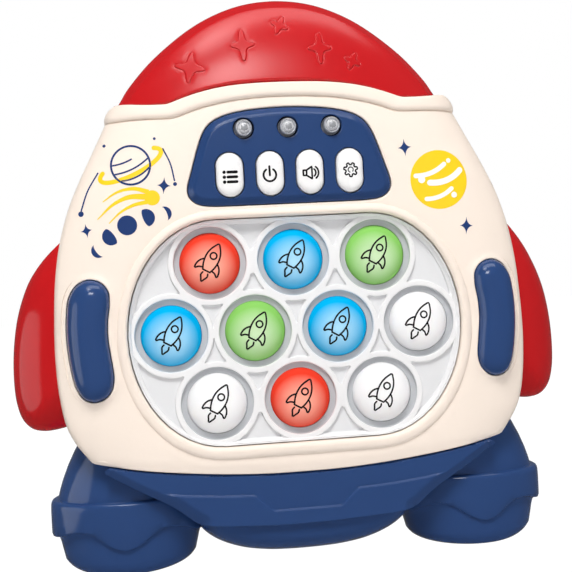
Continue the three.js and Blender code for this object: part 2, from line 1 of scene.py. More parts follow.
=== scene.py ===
import bpy, bmesh, math
import numpy as np
from mathutils import Vector, Matrix, kdtree
from mathutils.geometry import delaunay_2d_cdt


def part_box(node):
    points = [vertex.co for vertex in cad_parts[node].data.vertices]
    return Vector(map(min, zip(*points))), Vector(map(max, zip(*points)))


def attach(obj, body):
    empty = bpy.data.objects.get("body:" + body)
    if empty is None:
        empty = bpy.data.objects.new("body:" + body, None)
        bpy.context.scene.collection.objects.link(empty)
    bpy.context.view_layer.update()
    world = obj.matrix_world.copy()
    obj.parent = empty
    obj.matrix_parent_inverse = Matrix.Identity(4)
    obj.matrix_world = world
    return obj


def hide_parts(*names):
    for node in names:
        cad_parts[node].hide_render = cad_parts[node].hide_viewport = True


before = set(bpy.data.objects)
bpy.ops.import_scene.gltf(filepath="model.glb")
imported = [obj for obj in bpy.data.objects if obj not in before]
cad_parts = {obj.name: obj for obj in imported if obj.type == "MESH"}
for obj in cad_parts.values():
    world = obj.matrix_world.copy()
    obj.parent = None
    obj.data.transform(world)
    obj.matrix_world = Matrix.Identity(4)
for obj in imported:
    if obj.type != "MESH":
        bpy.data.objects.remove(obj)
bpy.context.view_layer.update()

# ------------------------------------------------------------------ place and main sizes, in millimetres
# Modelling coordinates: x to the right, y away from the player, z up, with 0 at the middle bubble row's ring faces.
DEPTH_MID, FLOOR = 16.1, 74.0
PARTING = 16.0
BUBBLE_PITCH, ROW_PITCH = 26.0, 21.65
BUBBLES = ([(x * BUBBLE_PITCH, ROW_PITCH) for x in (-1, 0, 1)] + [(x * BUBBLE_PITCH, 0.0) for x in (-1.5, -0.5, 0.5, 1.5)]
           + [(x * BUBBLE_PITCH, -ROW_PITCH) for x in (-1, 0, 1)])
COLOURS = "rbgbgbwwrw"
BUTTON_X, BUTTON_Z = (-18.7, -6.2, 6.2, 18.7), 48.3
LED_X, LED_Z = (-13.7, 0.0, 13.7), 62.5
SCREWS = ((-62, -27), (62, -27), (-61, 33), (61, 33), (-42, 59.5), (42, 59.5))

# ------------------------------------------------------------------ camera: az -7.908, el 0.5, roll -3.081 degrees
az, el, ro = (math.radians(a) for a in (-7.908, 0.5, -3.081))
back = Vector((math.sin(az) * math.cos(el), -math.cos(az) * math.cos(el), math.sin(el)))
right = (-back).cross(Vector((0, 0, 1))).normalized()
up = right.cross(-back)
r2 = math.cos(ro) * right + math.sin(ro) * up
u2 = -math.sin(ro) * right + math.cos(ro) * up
eye = (Vector((-2.82, 0, 13.40)) + back * 341.89 + Vector((0, -DEPTH_MID, FLOOR))) / 1000
cam_data = bpy.data.cameras.new("camera")
cam_data.lens, cam_data.sensor_width = 1100 / 572 * 36, 36
cam_data.clip_start, cam_data.clip_end = 0.01, 50
cam = bpy.data.objects.new("camera", cam_data)
cam.matrix_world = Matrix(((r2.x, u2.x, back.x, eye.x), (r2.y, u2.y, back.y, eye.y), (r2.z, u2.z, back.z, eye.z), (0, 0, 0, 1)))
bpy.context.collection.objects.link(cam)
bpy.context.scene.camera = cam


# ------------------------------------------------------------------ curves in the plane
def mirror(half):
    half = [tuple(p) for p in half]
    return half + [(-x, z) for x, z in half[1:-1][::-1]]


def resample(p, step, closed=True):
    p = np.asarray(p, float)
    q = np.vstack([p, p[:1]]) if closed else p
    seg = np.linalg.norm(np.diff(q, axis=0), axis=1)
    s = np.concatenate([[0], np.cumsum(seg)])
    n = max(4, int(round(s[-1] / step)))
    t = np.linspace(0, s[-1], n, endpoint=False) if closed else np.linspace(0, s[-1], n + 1)
    return np.stack([np.interp(t, s, q[:, k]) for k in range(q.shape[1])], 1)


def spline(pts, step=0.7, closed=True, fine=12):
    """Centripetal Catmull-Rom curve through the points, evenly resampled."""
    p = np.asarray(pts, float)
    n = len(p)
    out = []
    for i in range(n if closed else n - 1):
        p1, p2 = p[i], p[(i + 1) % n]
        p0 = p[i - 1] if closed or i > 0 else 2 * p1 - p2
        p3 = p[(i + 2) % n] if closed or i + 2 < n else 2 * p2 - p1
        t = [0.0]
        for a, b in ((p0, p1), (p1, p2), (p2, p3)):
            t.append(t[-1] + max(1e-6, np.linalg.norm(b - a)) ** 0.5)
        for u in np.linspace(t[1], t[2], fine, endpoint=False):
            a1 = (t[1] - u) / (t[1] - t[0]) * p0 + (u - t[0]) / (t[1] - t[0]) * p1
            a2 = (t[2] - u) / (t[2] - t[1]) * p1 + (u - t[1]) / (t[2] - t[1]) * p2
            a3 = (t[3] - u) / (t[3] - t[2]) * p2 + (u - t[2]) / (t[3] - t[2]) * p3
            b1 = (t[2] - u) / (t[2] - t[0]) * a1 + (u - t[0]) / (t[2] - t[0]) * a2
            b2 = (t[3] - u) / (t[3] - t[1]) * a2 + (u - t[1]) / (t[3] - t[1]) * a3
            out.append((t[2] - u) / (t[2] - t[1]) * b1 + (u - t[1]) / (t[2] - t[1]) * b2)
    if not closed:
        out.append(p[-1])
    return resample(out, step, closed)


def circle(cx, cz, r, n=64):
    a = np.arange(n) * 2 * math.pi / n
    return np.stack([cx + r * np.cos(a), cz + r * np.sin(a)], 1)


def area(p):
    return 0.5 * np.sum(p[:, 0] * np.roll(p[:, 1], -1) - np.roll(p[:, 0], -1) * p[:, 1])


def ccw(p):
    return p if area(p) > 0 else p[::-1]


def cw(p):
    return p if area(p) < 0 else p[::-1]


def shifted(p, d):
    """A closed loop moved to its left by d: inwards for an anticlockwise loop."""
    e = np.roll(p, -1, 0) - p
    e /= np.linalg.norm(e, axis=1)[:, None] + 1e-12
    m = e + np.roll(e, 1, 0)
    m /= np.linalg.norm(m, axis=1)[:, None] + 1e-12
    k = np.clip(1 / np.maximum(0.5, np.sum(m * e, 1)), 1, 1.6)
    return p + np.stack([-m[:, 1], m[:, 0]], 1) * (d * k)[:, None]


def distance(P, line, closed=True):
    P = np.asarray(P, float)
    a = line if closed else line[:-1]
    b = np.roll(line, -1, 0) if closed else line[1:]
    ab = b - a
    l2 = np.sum(ab * ab, 1) + 1e-18
    out = np.empty(len(P))
    for s in range(0, len(P), 3000):
        q0 = P[s:s + 3000, 0, None] - a[None, :, 0]
        q1 = P[s:s + 3000, 1, None] - a[None, :, 1]
        t = np.clip((q0 * ab[:, 0] + q1 * ab[:, 1]) / l2, 0, 1)
        out[s:s + 3000] = np.sqrt(np.min((q0 - t * ab[:, 0]) ** 2 + (q1 - t * ab[:, 1]) ** 2, axis=1))
    return out


def within(P, loop):
    P = np.asarray(P, float)
    a, b = loop, np.roll(loop, -1, 0)
    out = np.empty(len(P), bool)
    dz = b[:, 1] - a[:, 1]
    dz = np.where(np.abs(dz) < 1e-12, 1e-12, dz)
    for s in range(0, len(P), 3000):
        x, z = P[s:s + 3000, 0, None], P[s:s + 3000, 1, None]
        cross = ((a[None, :, 1] > z) != (b[None, :, 1] > z)) & (x < (b[:, 0] - a[:, 0]) * (z - a[:, 1]) / dz + a[:, 0])
        out[s:s + 3000] = np.sum(cross, 1) % 2 == 1
    return out


def sdf(P, loop, reach=None):
    """Distance to a closed loop, negative inside. Beyond reach of its box it is just large."""
    P = np.asarray(P, float)
    if reach is None:
        return np.where(within(P, loop), -1, 1) * distance(P, loop)
    lo, hi = loop.min(0) - reach, loop.max(0) + reach
    near = np.all((P >= lo) & (P <= hi), axis=1)
    out = np.full(len(P), 1e3)
    if near.any():
        q = P[near]
        out[near] = np.where(within(q, loop), -1, 1) * distance(q, loop)
    return out


def bead(s, r):
    """0 outside (s < 0), rising on a quarter circle to 1 at s = r."""
    t = np.clip(np.asarray(s) / r, 0, 1)
    return np.sqrt(np.maximum(0, 1 - (1 - t) ** 2)) * (np.asarray(s) > 0)


def soft(s, r):
    t = np.clip(np.asarray(s) / r, 0, 1)
    return t * t * (3 - 2 * t)


def fillet(d, r):
    """How far an edge has rounded back at a distance d inside it."""
    t = np.clip(1 - np.asarray(d) / r, 0, 1)
    return r * (1 - np.sqrt(np.maximum(0, 1 - t * t)))


# ------------------------------------------------------------------ flat regions to triangles
def fill2d(outer, holes=(), spacing=1.5, bands=(0.3, 0.8), hole_bands=None, rows=(), row_gap=0.45, cell=0.05):
    loops = [ccw(np.asarray(outer))] + [cw(np.asarray(h)) for h in holes]
    hb = bands if hole_bands is None else hole_bands
    start, pts, edges = [], [], []
    for L in loops:
        s = sum(len(q) for q in pts)
        start.append(s)
        edges += [(s + i, s + (i + 1) % len(L)) for i in range(len(L))]
        pts.append(L)
    kept = list(pts)

    def to_loops(q):
        return np.min([distance(q, L) for L in loops], axis=0)

    def inside_all(q):
        ok = within(q, loops[0])
        for L in loops[1:]:
            ok &= ~within(q, L)
        return ok

    for k, L in enumerate(loops):
        for d in (bands if k == 0 else hb):
            q = shifted(L, d)
            q = q[inside_all(q)]
            if len(q):
                q = q[distance(q, L) > 0.9 * d]
                for M in loops:
                    if M is not L and len(q):
                        q = q[distance(q, M) > min(0.6 * d, 0.25)]
                kept.append(q)
    for r in rows:
        r = np.asarray(r, float)
        r = r[inside_all(r)]
        if len(r):
            r = r[to_loops(r) > cell]
            kept.append(r)
    lo, hi = loops[0].min(0), loops[0].max(0)
    h = spacing * math.sqrt(3) / 2
    grid = []
    for j, z in enumerate(np.arange(lo[1] + h / 2, hi[1], h)):
        x = np.arange(lo[0] + (0.25 if j % 2 else 0.75) * spacing, hi[0], spacing)
        grid.append(np.stack([x, np.full(len(x), z)], 1))
    grid = np.vstack(grid)
    grid = grid[inside_all(grid)]
    grid = grid[to_loops(grid) > 0.4 * spacing]
    # thin out points that crowd earlier ones
    total = sum(len(q) for q in kept) + len(grid)
    tree = kdtree.KDTree(total)
    placed = []
    for q in kept[:len(loops)]:
        placed += [tuple(v) for v in q]
    rest = np.vstack(kept[len(loops):]) if len(kept) > len(loops) else np.zeros((0, 2))
    seen = set()
    for a, b in rest:
        key = (round(a / cell), round(b / cell))
        if key not in seen:
            seen.add(key)
            placed.append((a, b))
    for i, (a, b) in enumerate(placed):
        tree.insert((a, b, 0), i)
    tree.balance()
    gap = row_gap * spacing
    placed += [(a, b) for a, b in grid if tree.find((a, b, 0))[2] > gap]
    vo, _, fo, ov, _, _ = delaunay_2d_cdt([Vector(v) for v in placed], edges, [], 0, 1e-7)
    P = np.array([tuple(v) for v in vo])
    T = np.array([f for f in fo if len(f) == 3], int)
    c = P[T].mean(1)
    T = T[inside_all(c)]
    a, b, d = P[T[:, 0]], P[T[:, 1]], P[T[:, 2]]
    crossv = (b[:, 0] - a[:, 0]) * (d[:, 1] - a[:, 1]) - (b[:, 1] - a[:, 1]) * (d[:, 0] - a[:, 0])
    T = T[np.abs(crossv) > 1e-9]
    crossv = crossv[np.abs(crossv) > 1e-9]
    T[crossv < 0] = T[crossv < 0][:, ::-1]
    where = {}
    for i, origs in enumerate(ov):
        for o in origs:
            where[o] = i
    maps = [[where[s + i] for i in range(len(L))] for s, L in zip(start, loops)]
    return P, T, maps


# ------------------------------------------------------------------ meshes
made = []


def mesh_object(name, V, F, mats, body="casing", replaces=(), slot=None, sharp=38, face_mats=None, attrs=None):
    me = bpy.data.meshes.new(name)
    V = np.asarray(V, float)
    W = np.stack([V[:, 0], V[:, 1] - DEPTH_MID, V[:, 2] + FLOOR], 1) / 1000
    me.from_pydata(W.tolist(), [], [tuple(int(i) for i in f) for f in F])
    me.update()
    me.polygons.foreach_set("use_smooth", [True] * len(me.polygons))
    if sharp:
        me.set_sharp_from_angle(angle=math.radians(sharp))
    for m in mats if isinstance(mats, (list, tuple)) else [mats]:
        me.materials.append(m)
    if face_mats is not None:
        me.polygons.foreach_set("material_index", face_mats)
    for key, val in (attrs or {}).items():
        at = me.attributes.new(key, "FLOAT", "POINT")
        at.data.foreach_set("value", np.asarray(val, np.float32))
    me.update()
    ob = bpy.data.objects.new(name, me)
    bpy.context.collection.objects.link(ob)
    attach(ob, body)
    if replaces:
        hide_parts(*replaces)
    made.append(ob)
    return ob


class Build:
    """Collects parts of one mesh."""

    def __init__(self):
        self.V, self.F, self.M, self.n = [], [], [], 0

    def add(self, V, F, m=0):
        self.V.append(np.asarray(V, float))
        self.F += [tuple(int(i) + self.n for i in f) for f in F]
        self.M += [m] * len(F)
        self.n += len(V)
        return self

    def obj(self, name, mats, **kw):
        return mesh_object(name, np.vstack(self.V), self.F, mats, face_mats=self.M, **kw)


def panel(outer, holes, surface, back_y=None, walls=None, hole_walls=None, flip=False, **fill):
    """Front skin over a region, y = surface(P), with side walls round each loop and, given back_y, a closed flat back.
    A wall is a list of functions (P, y) -> (P, y), each a row further back. flip faces it to +y."""
    P, T, maps = fill2d(outer, holes, **fill)
    y = surface(P)
    V = [np.stack([P[:, 0], y, P[:, 1]], 1)]
    F = [tuple(t) for t in T]
    n = len(P)
    last = []
    for k, m in enumerate(maps):
        m = np.array(m)
        prev, p, yy = m, P[m], y[m]
        steps = walls if k == 0 else (hole_walls[k - 1] if hole_walls and isinstance(hole_walls[0], list) else hole_walls)
        for step in steps or []:
            p, yy = step(p, yy)
            yy = np.broadcast_to(np.asarray(yy, float), (len(p),))
            V.append(np.stack([p[:, 0], yy, p[:, 1]], 1))
            cur = np.arange(n, n + len(p))
            n += len(p)
            F += [(prev[i], cur[i], cur[(i + 1) % len(p)], prev[(i + 1) % len(p)]) for i in range(len(p))]
            prev = cur
        last.append((prev, p, yy))
    if back_y is not None:
        Pb = P.copy()
        for (idx, p, yy), m in zip(last, maps):
            Pb[np.array(m)] = p
        b = np.arange(n, n + len(P))
        yb = back_y(P) if callable(back_y) else np.full(len(P), float(back_y))
        V.append(np.stack([Pb[:, 0], yb, Pb[:, 1]], 1))
        n += len(P)
        F += [(b[t[0]], b[t[2]], b[t[1]]) for t in T]
        for (idx, p, yy), m in zip(last, maps):
            m = b[np.array(m)]
            F += [(idx[i], m[i], m[(i + 1) % len(m)], idx[(i + 1) % len(m)]) for i in range(len(m))]
    if flip:
        F = [f[::-1] for f in F]
    return np.vstack(V), F


def to_y(v):
    return lambda p, y: (p, np.full(len(p), float(v)))


def inset(d, v=None):
    """Next row moved by d to the left of the loop (into the material), at depth v."""
    return lambda p, y: (shifted(p, d), y if v is None else np.full(len(p), float(v)))


def lathe(profile, x, z, seg=48, axis="y"):
    """Closed turned body about a line along y. The profile is [radius, y], from axis to axis."""
    prof = [tuple(q) for q in profile]
    V, F = [], []
    a = np.arange(seg) * 2 * math.pi / seg
    rows = []
    for r, y in prof:
        if r < 1e-6:
            rows.append([len(V)])
            V.append((x, y, z))
        else:
            rows.append(list(range(len(V), len(V) + seg)))
            V += [(x + r * math.cos(t), y, z + r * math.sin(t)) for t in a]
    for A, B in zip(rows, rows[1:]):
        for i in range(seg):
            j = (i + 1) % seg
            if len(A) == 1 and len(B) > 1:
                F.append((A[0], B[j], B[i]))
            elif len(B) == 1 and len(A) > 1:
                F.append((A[i], A[j], B[0]))
            elif len(A) > 1:
                F.append((A[i], A[j], B[j], B[i]))
    V = np.array(V)
    # outward faces: the first fan of a profile that starts in front faces -y
    return V, (F if prof[0][1] <= prof[-1][1] else [f[::-1] for f in F])


def round_profile(pts, radii, n=5):
    """Polyline [r, y] with its inner corners rounded by the radii given (0 keeps a corner)."""
    out = [tuple(pts[0])]
    for i in range(1, len(pts) - 1):
        r = radii[i] if i < len(radii) else 0
        p, a, b = (np.array(pts[k], float) for k in (i, i - 1, i + 1))
        if r <= 0:
            out.append(tuple(p))
            continue
        u, v = (a - p) / np.linalg.norm(a - p), (b - p) / np.linalg.norm(b - p)
        d = min(r, 0.49 * np.linalg.norm(a - p), 0.49 * np.linalg.norm(b - p))
        for t in np.linspace(0, 1, n):
            q = (1 - t) ** 2 * (p + u * d) + 2 * t * (1 - t) * p + t * t * (p + v * d)
            out.append(tuple(q))
    out.append(tuple(pts[-1]))
    return out


def grid_faces(rows, cols, closed=True, base=0, flip=False):
    F = []
    for i in range(rows - 1):
        for j in range(cols if closed else cols - 1):
            k = (j + 1) % cols
            f = (base + i * cols + j, base + i * cols + k, base + (i + 1) * cols + k, base + (i + 1) * cols + j)
            F.append(f[::-1] if flip else f)
    return F


def volume(V, F):
    s = 0.0
    for f in F:
        for i in range(1, len(f) - 1):
            s += np.dot(V[f[0]], np.cross(V[f[i]], V[f[i + 1]]))
    return s / 6


def outward(V, F):
    return F if volume(V, F) > 0 else [f[::-1] for f in F]


def decal(P, T, surface, lift=0.045, sink=0.02):
    """Thin closed sheet over a surface, standing proud of it by lift."""
    P = np.asarray(P, float)
    y = surface(P)
    n = len(P)
    V = np.vstack([np.stack([P[:, 0], y - lift, P[:, 1]], 1), np.stack([P[:, 0], y + sink, P[:, 1]], 1)])
    F = [tuple(t) for t in T] + [(t[0] + n, t[2] + n, t[1] + n) for t in T]
    count = {}
    for t in T:
        for a, b in ((t[0], t[1]), (t[1], t[2]), (t[2], t[0])):
            count[(a, b)] = count.get((a, b), 0) + 1
    for (a, b) in count:
        if (b, a) not in count:
            F.append((a, a + n, b + n, b))
    return V, F


def stroke(pts, width, closed=False, step=0.35, caps=True):
    """Ribbon along a polyline, as points and triangles."""
    p = resample(np.asarray(pts, float), step, closed)
    if closed:
        e = np.roll(p, -1, 0) - np.roll(p, 1, 0)
    else:
        e = np.gradient(p, axis=0)
    e /= np.linalg.norm(e, axis=1)[:, None] + 1e-12
    nrm = np.stack([-e[:, 1], e[:, 0]], 1) * width / 2
    L, R = p + nrm, p - nrm
    n = len(p)
    P = np.vstack([L, R])
    T = []
    for i in range(n if closed else n - 1):
        j = (i + 1) % n
        T += [(i, n + i, n + j), (i, n + j, j)]
    if caps and not closed:
        for end, sgn in ((0, -1), (n - 1, 1)):
            base = len(P)
            ang0 = math.atan2(e[end, 1], e[end, 0])
            arc = [p[end] + width / 2 * np.array([math.cos(ang0 + sgn * 0 + t), math.sin(ang0 + t)]) for t in
                   (np.linspace(math.pi / 2, -math.pi / 2, 7)[1:-1] if sgn > 0 else np.linspace(math.pi / 2, 3 * math.pi / 2, 7)[1:-1])]
            P = np.vstack([P, arc])
            ring = [end] + list(range(base, base + len(arc))) + [n + end]
            for a, b in zip(ring[1:], ring[2:]):
                T.append((ring[0], b, a) if sgn > 0 else (ring[0], a, b))
    T = np.array(T)
    a, b, d = P[T[:, 0]], P[T[:, 1]], P[T[:, 2]]
    cr = (b[:, 0] - a[:, 0]) * (d[:, 1] - a[:, 1]) - (b[:, 1] - a[:, 1]) * (d[:, 0] - a[:, 0])
    T[cr < 0] = T[cr < 0][:, ::-1]
    return P, T[np.abs(cr) > 1e-9]


def turned(pts, deg, cx=0.0, cz=0.0, k=1.0):
    a = math.radians(deg)
    p = np.asarray(pts, float) * k
    return np.stack([cx + p[:, 0] * math.cos(a) - p[:, 1] * math.sin(a), cz + p[:, 0] * math.sin(a) + p[:, 1] * math.cos(a)], 1)


def star4(cx, cz, r, waist=0.26, deg=0, stretch=1.25, n=9):
    """Four-pointed star with hollow sides."""
    tips = [(0, r * stretch), (r, 0), (0, -r * stretch), (-r, 0)]
    out = []
    for i in range(4):
        a, b = np.array(tips[i]), np.array(tips[(i + 1) % 4])
        c = (a + b) / 2 * waist
        for t in np.linspace(0, 1, n, endpoint=False):
            out.append((1 - t) ** 2 * a + 2 * t * (1 - t) * c + t * t * b)
    return ccw(turned(out, deg, cx, cz))


# ------------------------------------------------------------------ materials
def rgb(*c):
    """sRGB 0..255 to linear."""
    return tuple((v / 255 / 12.92) if v / 255 <= 0.04045 else ((v / 255 + 0.055) / 1.055) ** 2.4 for v in c) + (1.0,)


def new_material(name):
    m = bpy.data.materials.new(name)
    m.use_nodes = True
    t = m.node_tree
    return m, t, t.nodes["Principled BSDF"], t.nodes, t.links


def plastic(name, colour, rough=0.3, vary=0.03, peel=0.02, peel_scale=700.0, coat=0.0, sss=0.0, spec=0.5, metal=0.0, scuff=0.05, grain=0.0):
    """Moulded plastic: faint flow marks in the colour, roughness that wanders, and a fine orange-peel bump."""
    m, t, b, N, L = new_material(name)
    tc = N.new("ShaderNodeTexCoord")
    n1 = N.new("ShaderNodeTexNoise")
    n1.inputs["Scale"].default_value, n1.inputs["Detail"].default_value = 22.0, 4.0
    L.new(tc.outputs["Object"], n1.inputs["Vector"])
    ramp = N.new("ShaderNodeMapRange")
    ramp.inputs["To Min"].default_value, ramp.inputs["To Max"].default_value = 1 - vary, 1 + vary
    L.new(n1.outputs["Fac"], ramp.inputs["Value"])
    col = N.new("ShaderNodeVectorMath")
    col.operation = "SCALE"
    col.inputs[0].default_value = colour[:3]
    L.new(ramp.outputs["Result"], col.inputs["Scale"])
    L.new(col.outputs["Vector"], b.inputs["Base Color"])
    n2 = N.new("ShaderNodeTexNoise")
    n2.inputs["Scale"].default_value, n2.inputs["Detail"].default_value = 130.0, 5.0
    L.new(tc.outputs["Object"], n2.inputs["Vector"])
    r = N.new("ShaderNodeMapRange")
    r.inputs["To Min"].default_value, r.inputs["To Max"].default_value = max(0.02, rough - scuff), rough + scuff
    L.new(n2.outputs["Fac"], r.inputs["Value"])
    L.new(r.outputs["Result"], b.inputs["Roughness"])
    n3 = N.new("ShaderNodeTexNoise")
    n3.inputs["Scale"].default_value, n3.inputs["Detail"].default_value = peel_scale, 2.0
    L.new(tc.outputs["Object"], n3.inputs["Vector"])
    bump = N.new("ShaderNodeBump")
    bump.inputs["Strength"].default_value, bump.inputs["Distance"].default_value = peel, 0.0004
    L.new(n3.outputs["Fac"], bump.inputs["Height"])
    if grain:
        n4 = N.new("ShaderNodeTexVoronoi")
        n4.inputs["Scale"].default_value = 1500.0
        L.new(tc.outputs["Object"], n4.inputs["Vector"])
        b2 = N.new("ShaderNodeBump")
        b2.inputs["Strength"].default_value, b2.inputs["Distance"].default_value = grain, 0.0002
        L.new(n4.outputs["Distance"], b2.inputs["Height"])
        L.new(bump.outputs["Normal"], b2.inputs["Normal"])
        bump = b2
    L.new(bump.outputs["Normal"], b.inputs["Normal"])
    b.inputs["Specular IOR Level"].default_value = spec
    b.inputs["Coat Weight"].default_value = coat
    b.inputs["Coat Roughness"].default_value = 0.08
    b.inputs["Metallic"].default_value = metal
    if sss:
        b.inputs["Subsurface Weight"].default_value = sss
        b.inputs["Subsurface Radius"].default_value = (1.0, 0.6, 0.4)
        b.inputs["Subsurface Scale"].default_value = 0.002
    return m


CREAM = plastic("cream_abs", rgb(249, 235, 222), 0.38, vary=0.012, peel=0.05, spec=0.35)
RED = plastic("red_abs", rgb(190, 20, 25), 0.15, vary=0.03, peel=0.02, spec=0.42, scuff=0.02)
NOSE_RED = plastic("red_abs_satin", rgb(194, 20, 26), 0.25, vary=0.015, peel=0.02, spec=0.5, scuff=0.01)
BLUE = plastic("blue_abs", rgb(42, 70, 120), 0.15, vary=0.03, peel=0.02, spec=0.42, scuff=0.02)
# The panel's blue is a darker copy of the blue plastic, darkened to offset the lamps' sheen on the panel: painted
# shade.
PANEL_BLUE_PAINTED_SHADE = plastic("blue_abs_satin_painted_shade", rgb(37, 65, 114), 0.2, vary=0.03, peel=0.03, spec=0.4, scuff=0.03)
GREY = plastic("grey_abs", rgb(238, 238, 239), 0.42, vary=0.012, peel=0.05, spec=0.4)
# Slightly darker grey for the pocket floors: painted shade for the sunk floors between the rings; the plate is one grey
# plastic.
POCKET_PAINTED_SHADE = plastic("pocket_floor_painted_shade_grey", rgb(227, 228, 230), 0.5, vary=0.012, peel=0.08, spec=0.3)
# Darker grey for the well round each dome: painted shade standing in for the occlusion in the groove; the plate is one
# grey plastic.
GROOVE_PAINTED_SHADE = plastic("groove_painted_shade_grey", rgb(192, 195, 199), 0.5, vary=0.012, peel=0.05, spec=0.3)
WHITE = plastic("button_white_abs", rgb(246, 246, 246), 0.28, vary=0.01, peel=0.05, spec=0.5)
INK_BLACK = plastic("ink_black", rgb(10, 10, 12), 0.5, vary=0.1, peel=0.03, spec=0.2)
INK_BLUE = plastic("ink_blue", rgb(30, 58, 114), 0.5, vary=0.05, peel=0.03, spec=0.2)
INK_YELLOW = plastic("ink_yellow", rgb(250, 212, 8), 0.45, vary=0.03, peel=0.03)
INK_WHITE = plastic("ink_white", rgb(255, 252, 246), 0.45, vary=0.02, peel=0.03)
BLACK = plastic("black_abs", rgb(26, 26, 28), 0.5, vary=0.1, peel=0.08)
# Near-black navy for the ring round each lamp: a dark part standing in for the shade in the lamp hole's depth (painted
# shade).
SOCKET_PAINTED_SHADE = plastic("lamp_hole_painted_shade", rgb(12, 16, 32), 0.6, vary=0.08, peel=0.05, spec=0.1)
BOARD = plastic("board_mask", rgb(30, 92, 52), 0.35, vary=0.12, peel=0.1, peel_scale=250)
RUBBER = plastic("keypad_silicone", rgb(150, 152, 156), 0.6, vary=0.05, peel=0.1)
INNER = plastic("inner_abs", rgb(228, 222, 212), 0.5, vary=0.03, peel=0.08)
WIRE = plastic("wire_red_pvc", rgb(170, 22, 22), 0.4, vary=0.05, peel=0.06)


def metal(name, colour, rough, amount=1.0):
    m, t, b, N, L = new_material(name)
    tc = N.new("ShaderNodeTexCoord")
    mp = N.new("ShaderNodeMapping")
    mp.inputs["Scale"].default_value = (60, 900, 60)
    L.new(tc.outputs["Object"], mp.inputs["Vector"])
    n = N.new("ShaderNodeTexNoise")
    n.inputs["Scale"].default_value, n.inputs["Detail"].default_value = 6.0, 6.0
    L.new(mp.outputs["Vector"], n.inputs["Vector"])
    r = N.new("ShaderNodeMapRange")
    r.inputs["To Min"].default_value, r.inputs["To Max"].default_value = rough * 0.7, rough * 1.4
    L.new(n.outputs["Fac"], r.inputs["Value"])
    L.new(r.outputs["Result"], b.inputs["Roughness"])
    bump = N.new("ShaderNodeBump")
    bump.inputs["Strength"].default_value, bump.inputs["Distance"].default_value = 0.08, 0.0002
    L.new(n.outputs["Fac"], bump.inputs["Height"])
    L.new(bump.outputs["Normal"], b.inputs["Normal"])
    mix = N.new("ShaderNodeVectorMath")
    mix.operation = "SCALE"
    mix.inputs[0].default_value = colour[:3]
    rr = N.new("ShaderNodeMapRange")
    rr.inputs["To Min"].default_value, rr.inputs["To Max"].default_value = 0.9, 1.05
    L.new(n.outputs["Fac"], rr.inputs["Value"])
    L.new(rr.outputs["Result"], mix.inputs["Scale"])
    L.new(mix.outputs["Vector"], b.inputs["Base Color"])
    b.inputs["Metallic"].default_value = amount
    return m


STEEL = metal("zinc_steel", rgb(206, 206, 210), 0.36, 0.6)
CELL = metal("cell_wrap", rgb(150, 154, 162), 0.4, 0.35)


def silicone(name, edge, mid, painted_glow, dark=None):
    """Silicone cap. A point attribute runs from 1 at the crown to 0 at the rim and blends the rim colour into a paler
    crown colour, which the coloured caps also emit weakly: a painted glow on the crown and painted shade on the darker,
    more saturated rim.
    """
    m, t, b, N, L = new_material(name)
    at = N.new("ShaderNodeAttribute")
    at.attribute_name = "painted_glow"
    tc = N.new("ShaderNodeTexCoord")
    nz = N.new("ShaderNodeTexNoise")
    nz.inputs["Scale"].default_value, nz.inputs["Detail"].default_value = 160.0, 3.0
    L.new(tc.outputs["Object"], nz.inputs["Vector"])
    mr = N.new("ShaderNodeMapRange")
    mr.inputs["To Min"].default_value, mr.inputs["To Max"].default_value = -0.05, 0.05
    L.new(nz.outputs["Fac"], mr.inputs["Value"])
    add = N.new("ShaderNodeMath")
    add.operation = "ADD"
    L.new(at.outputs["Fac"], add.inputs[0])
    L.new(mr.outputs["Result"], add.inputs[1])
    ramp = N.new("ShaderNodeValToRGB")
    ramp.color_ramp.elements[0].position, ramp.color_ramp.elements[0].color = 0.18, edge
    ramp.color_ramp.elements[1].position, ramp.color_ramp.elements[1].color = 1.0, mid
    L.new(add.outputs["Value"], ramp.inputs["Fac"])
    L.new(ramp.outputs["Color"], b.inputs["Base Color"])
    if painted_glow:
        L.new(ramp.outputs["Color"], b.inputs["Emission Color"])
        b.inputs["Emission Strength"].default_value = painted_glow
    b.inputs["Subsurface Weight"].default_value = 0.12
    b.inputs["Subsurface Radius"].default_value = (1.0, 0.8, 0.6)
    b.inputs["Subsurface Scale"].default_value = 0.0015
    b.inputs["Roughness"].default_value = 0.55
    b.inputs["Specular IOR Level"].default_value = 0.025
    bump = N.new("ShaderNodeBump")
    bump.inputs["Strength"].default_value, bump.inputs["Distance"].default_value = 0.05, 0.0003
    n3 = N.new("ShaderNodeTexNoise")
    n3.inputs["Scale"].default_value = 900.0
    L.new(tc.outputs["Object"], n3.inputs["Vector"])
    L.new(n3.outputs["Fac"], bump.inputs["Height"])
    L.new(bump.outputs["Normal"], b.inputs["Normal"])
    return m


# Rim and crown colours for the domes: the paler crown is a painted glow and the darker rim is painted shade; the
# coloured domes also emit the crown colour weakly.
SILICONE = {
    "r": silicone("silicone_red_painted_glow", rgb(230, 62, 42), rgb(252, 176, 156), 0.04),
    "b": silicone("silicone_blue_painted_glow", rgb(0, 172, 230), rgb(172, 220, 246), 0.04),
    "g": silicone("silicone_green_painted_glow", rgb(136, 200, 100), rgb(204, 230, 188), 0.04),
    "w": silicone("silicone_white_painted_shade", rgb(240, 240, 242), rgb(252, 252, 252), 0.0),
}


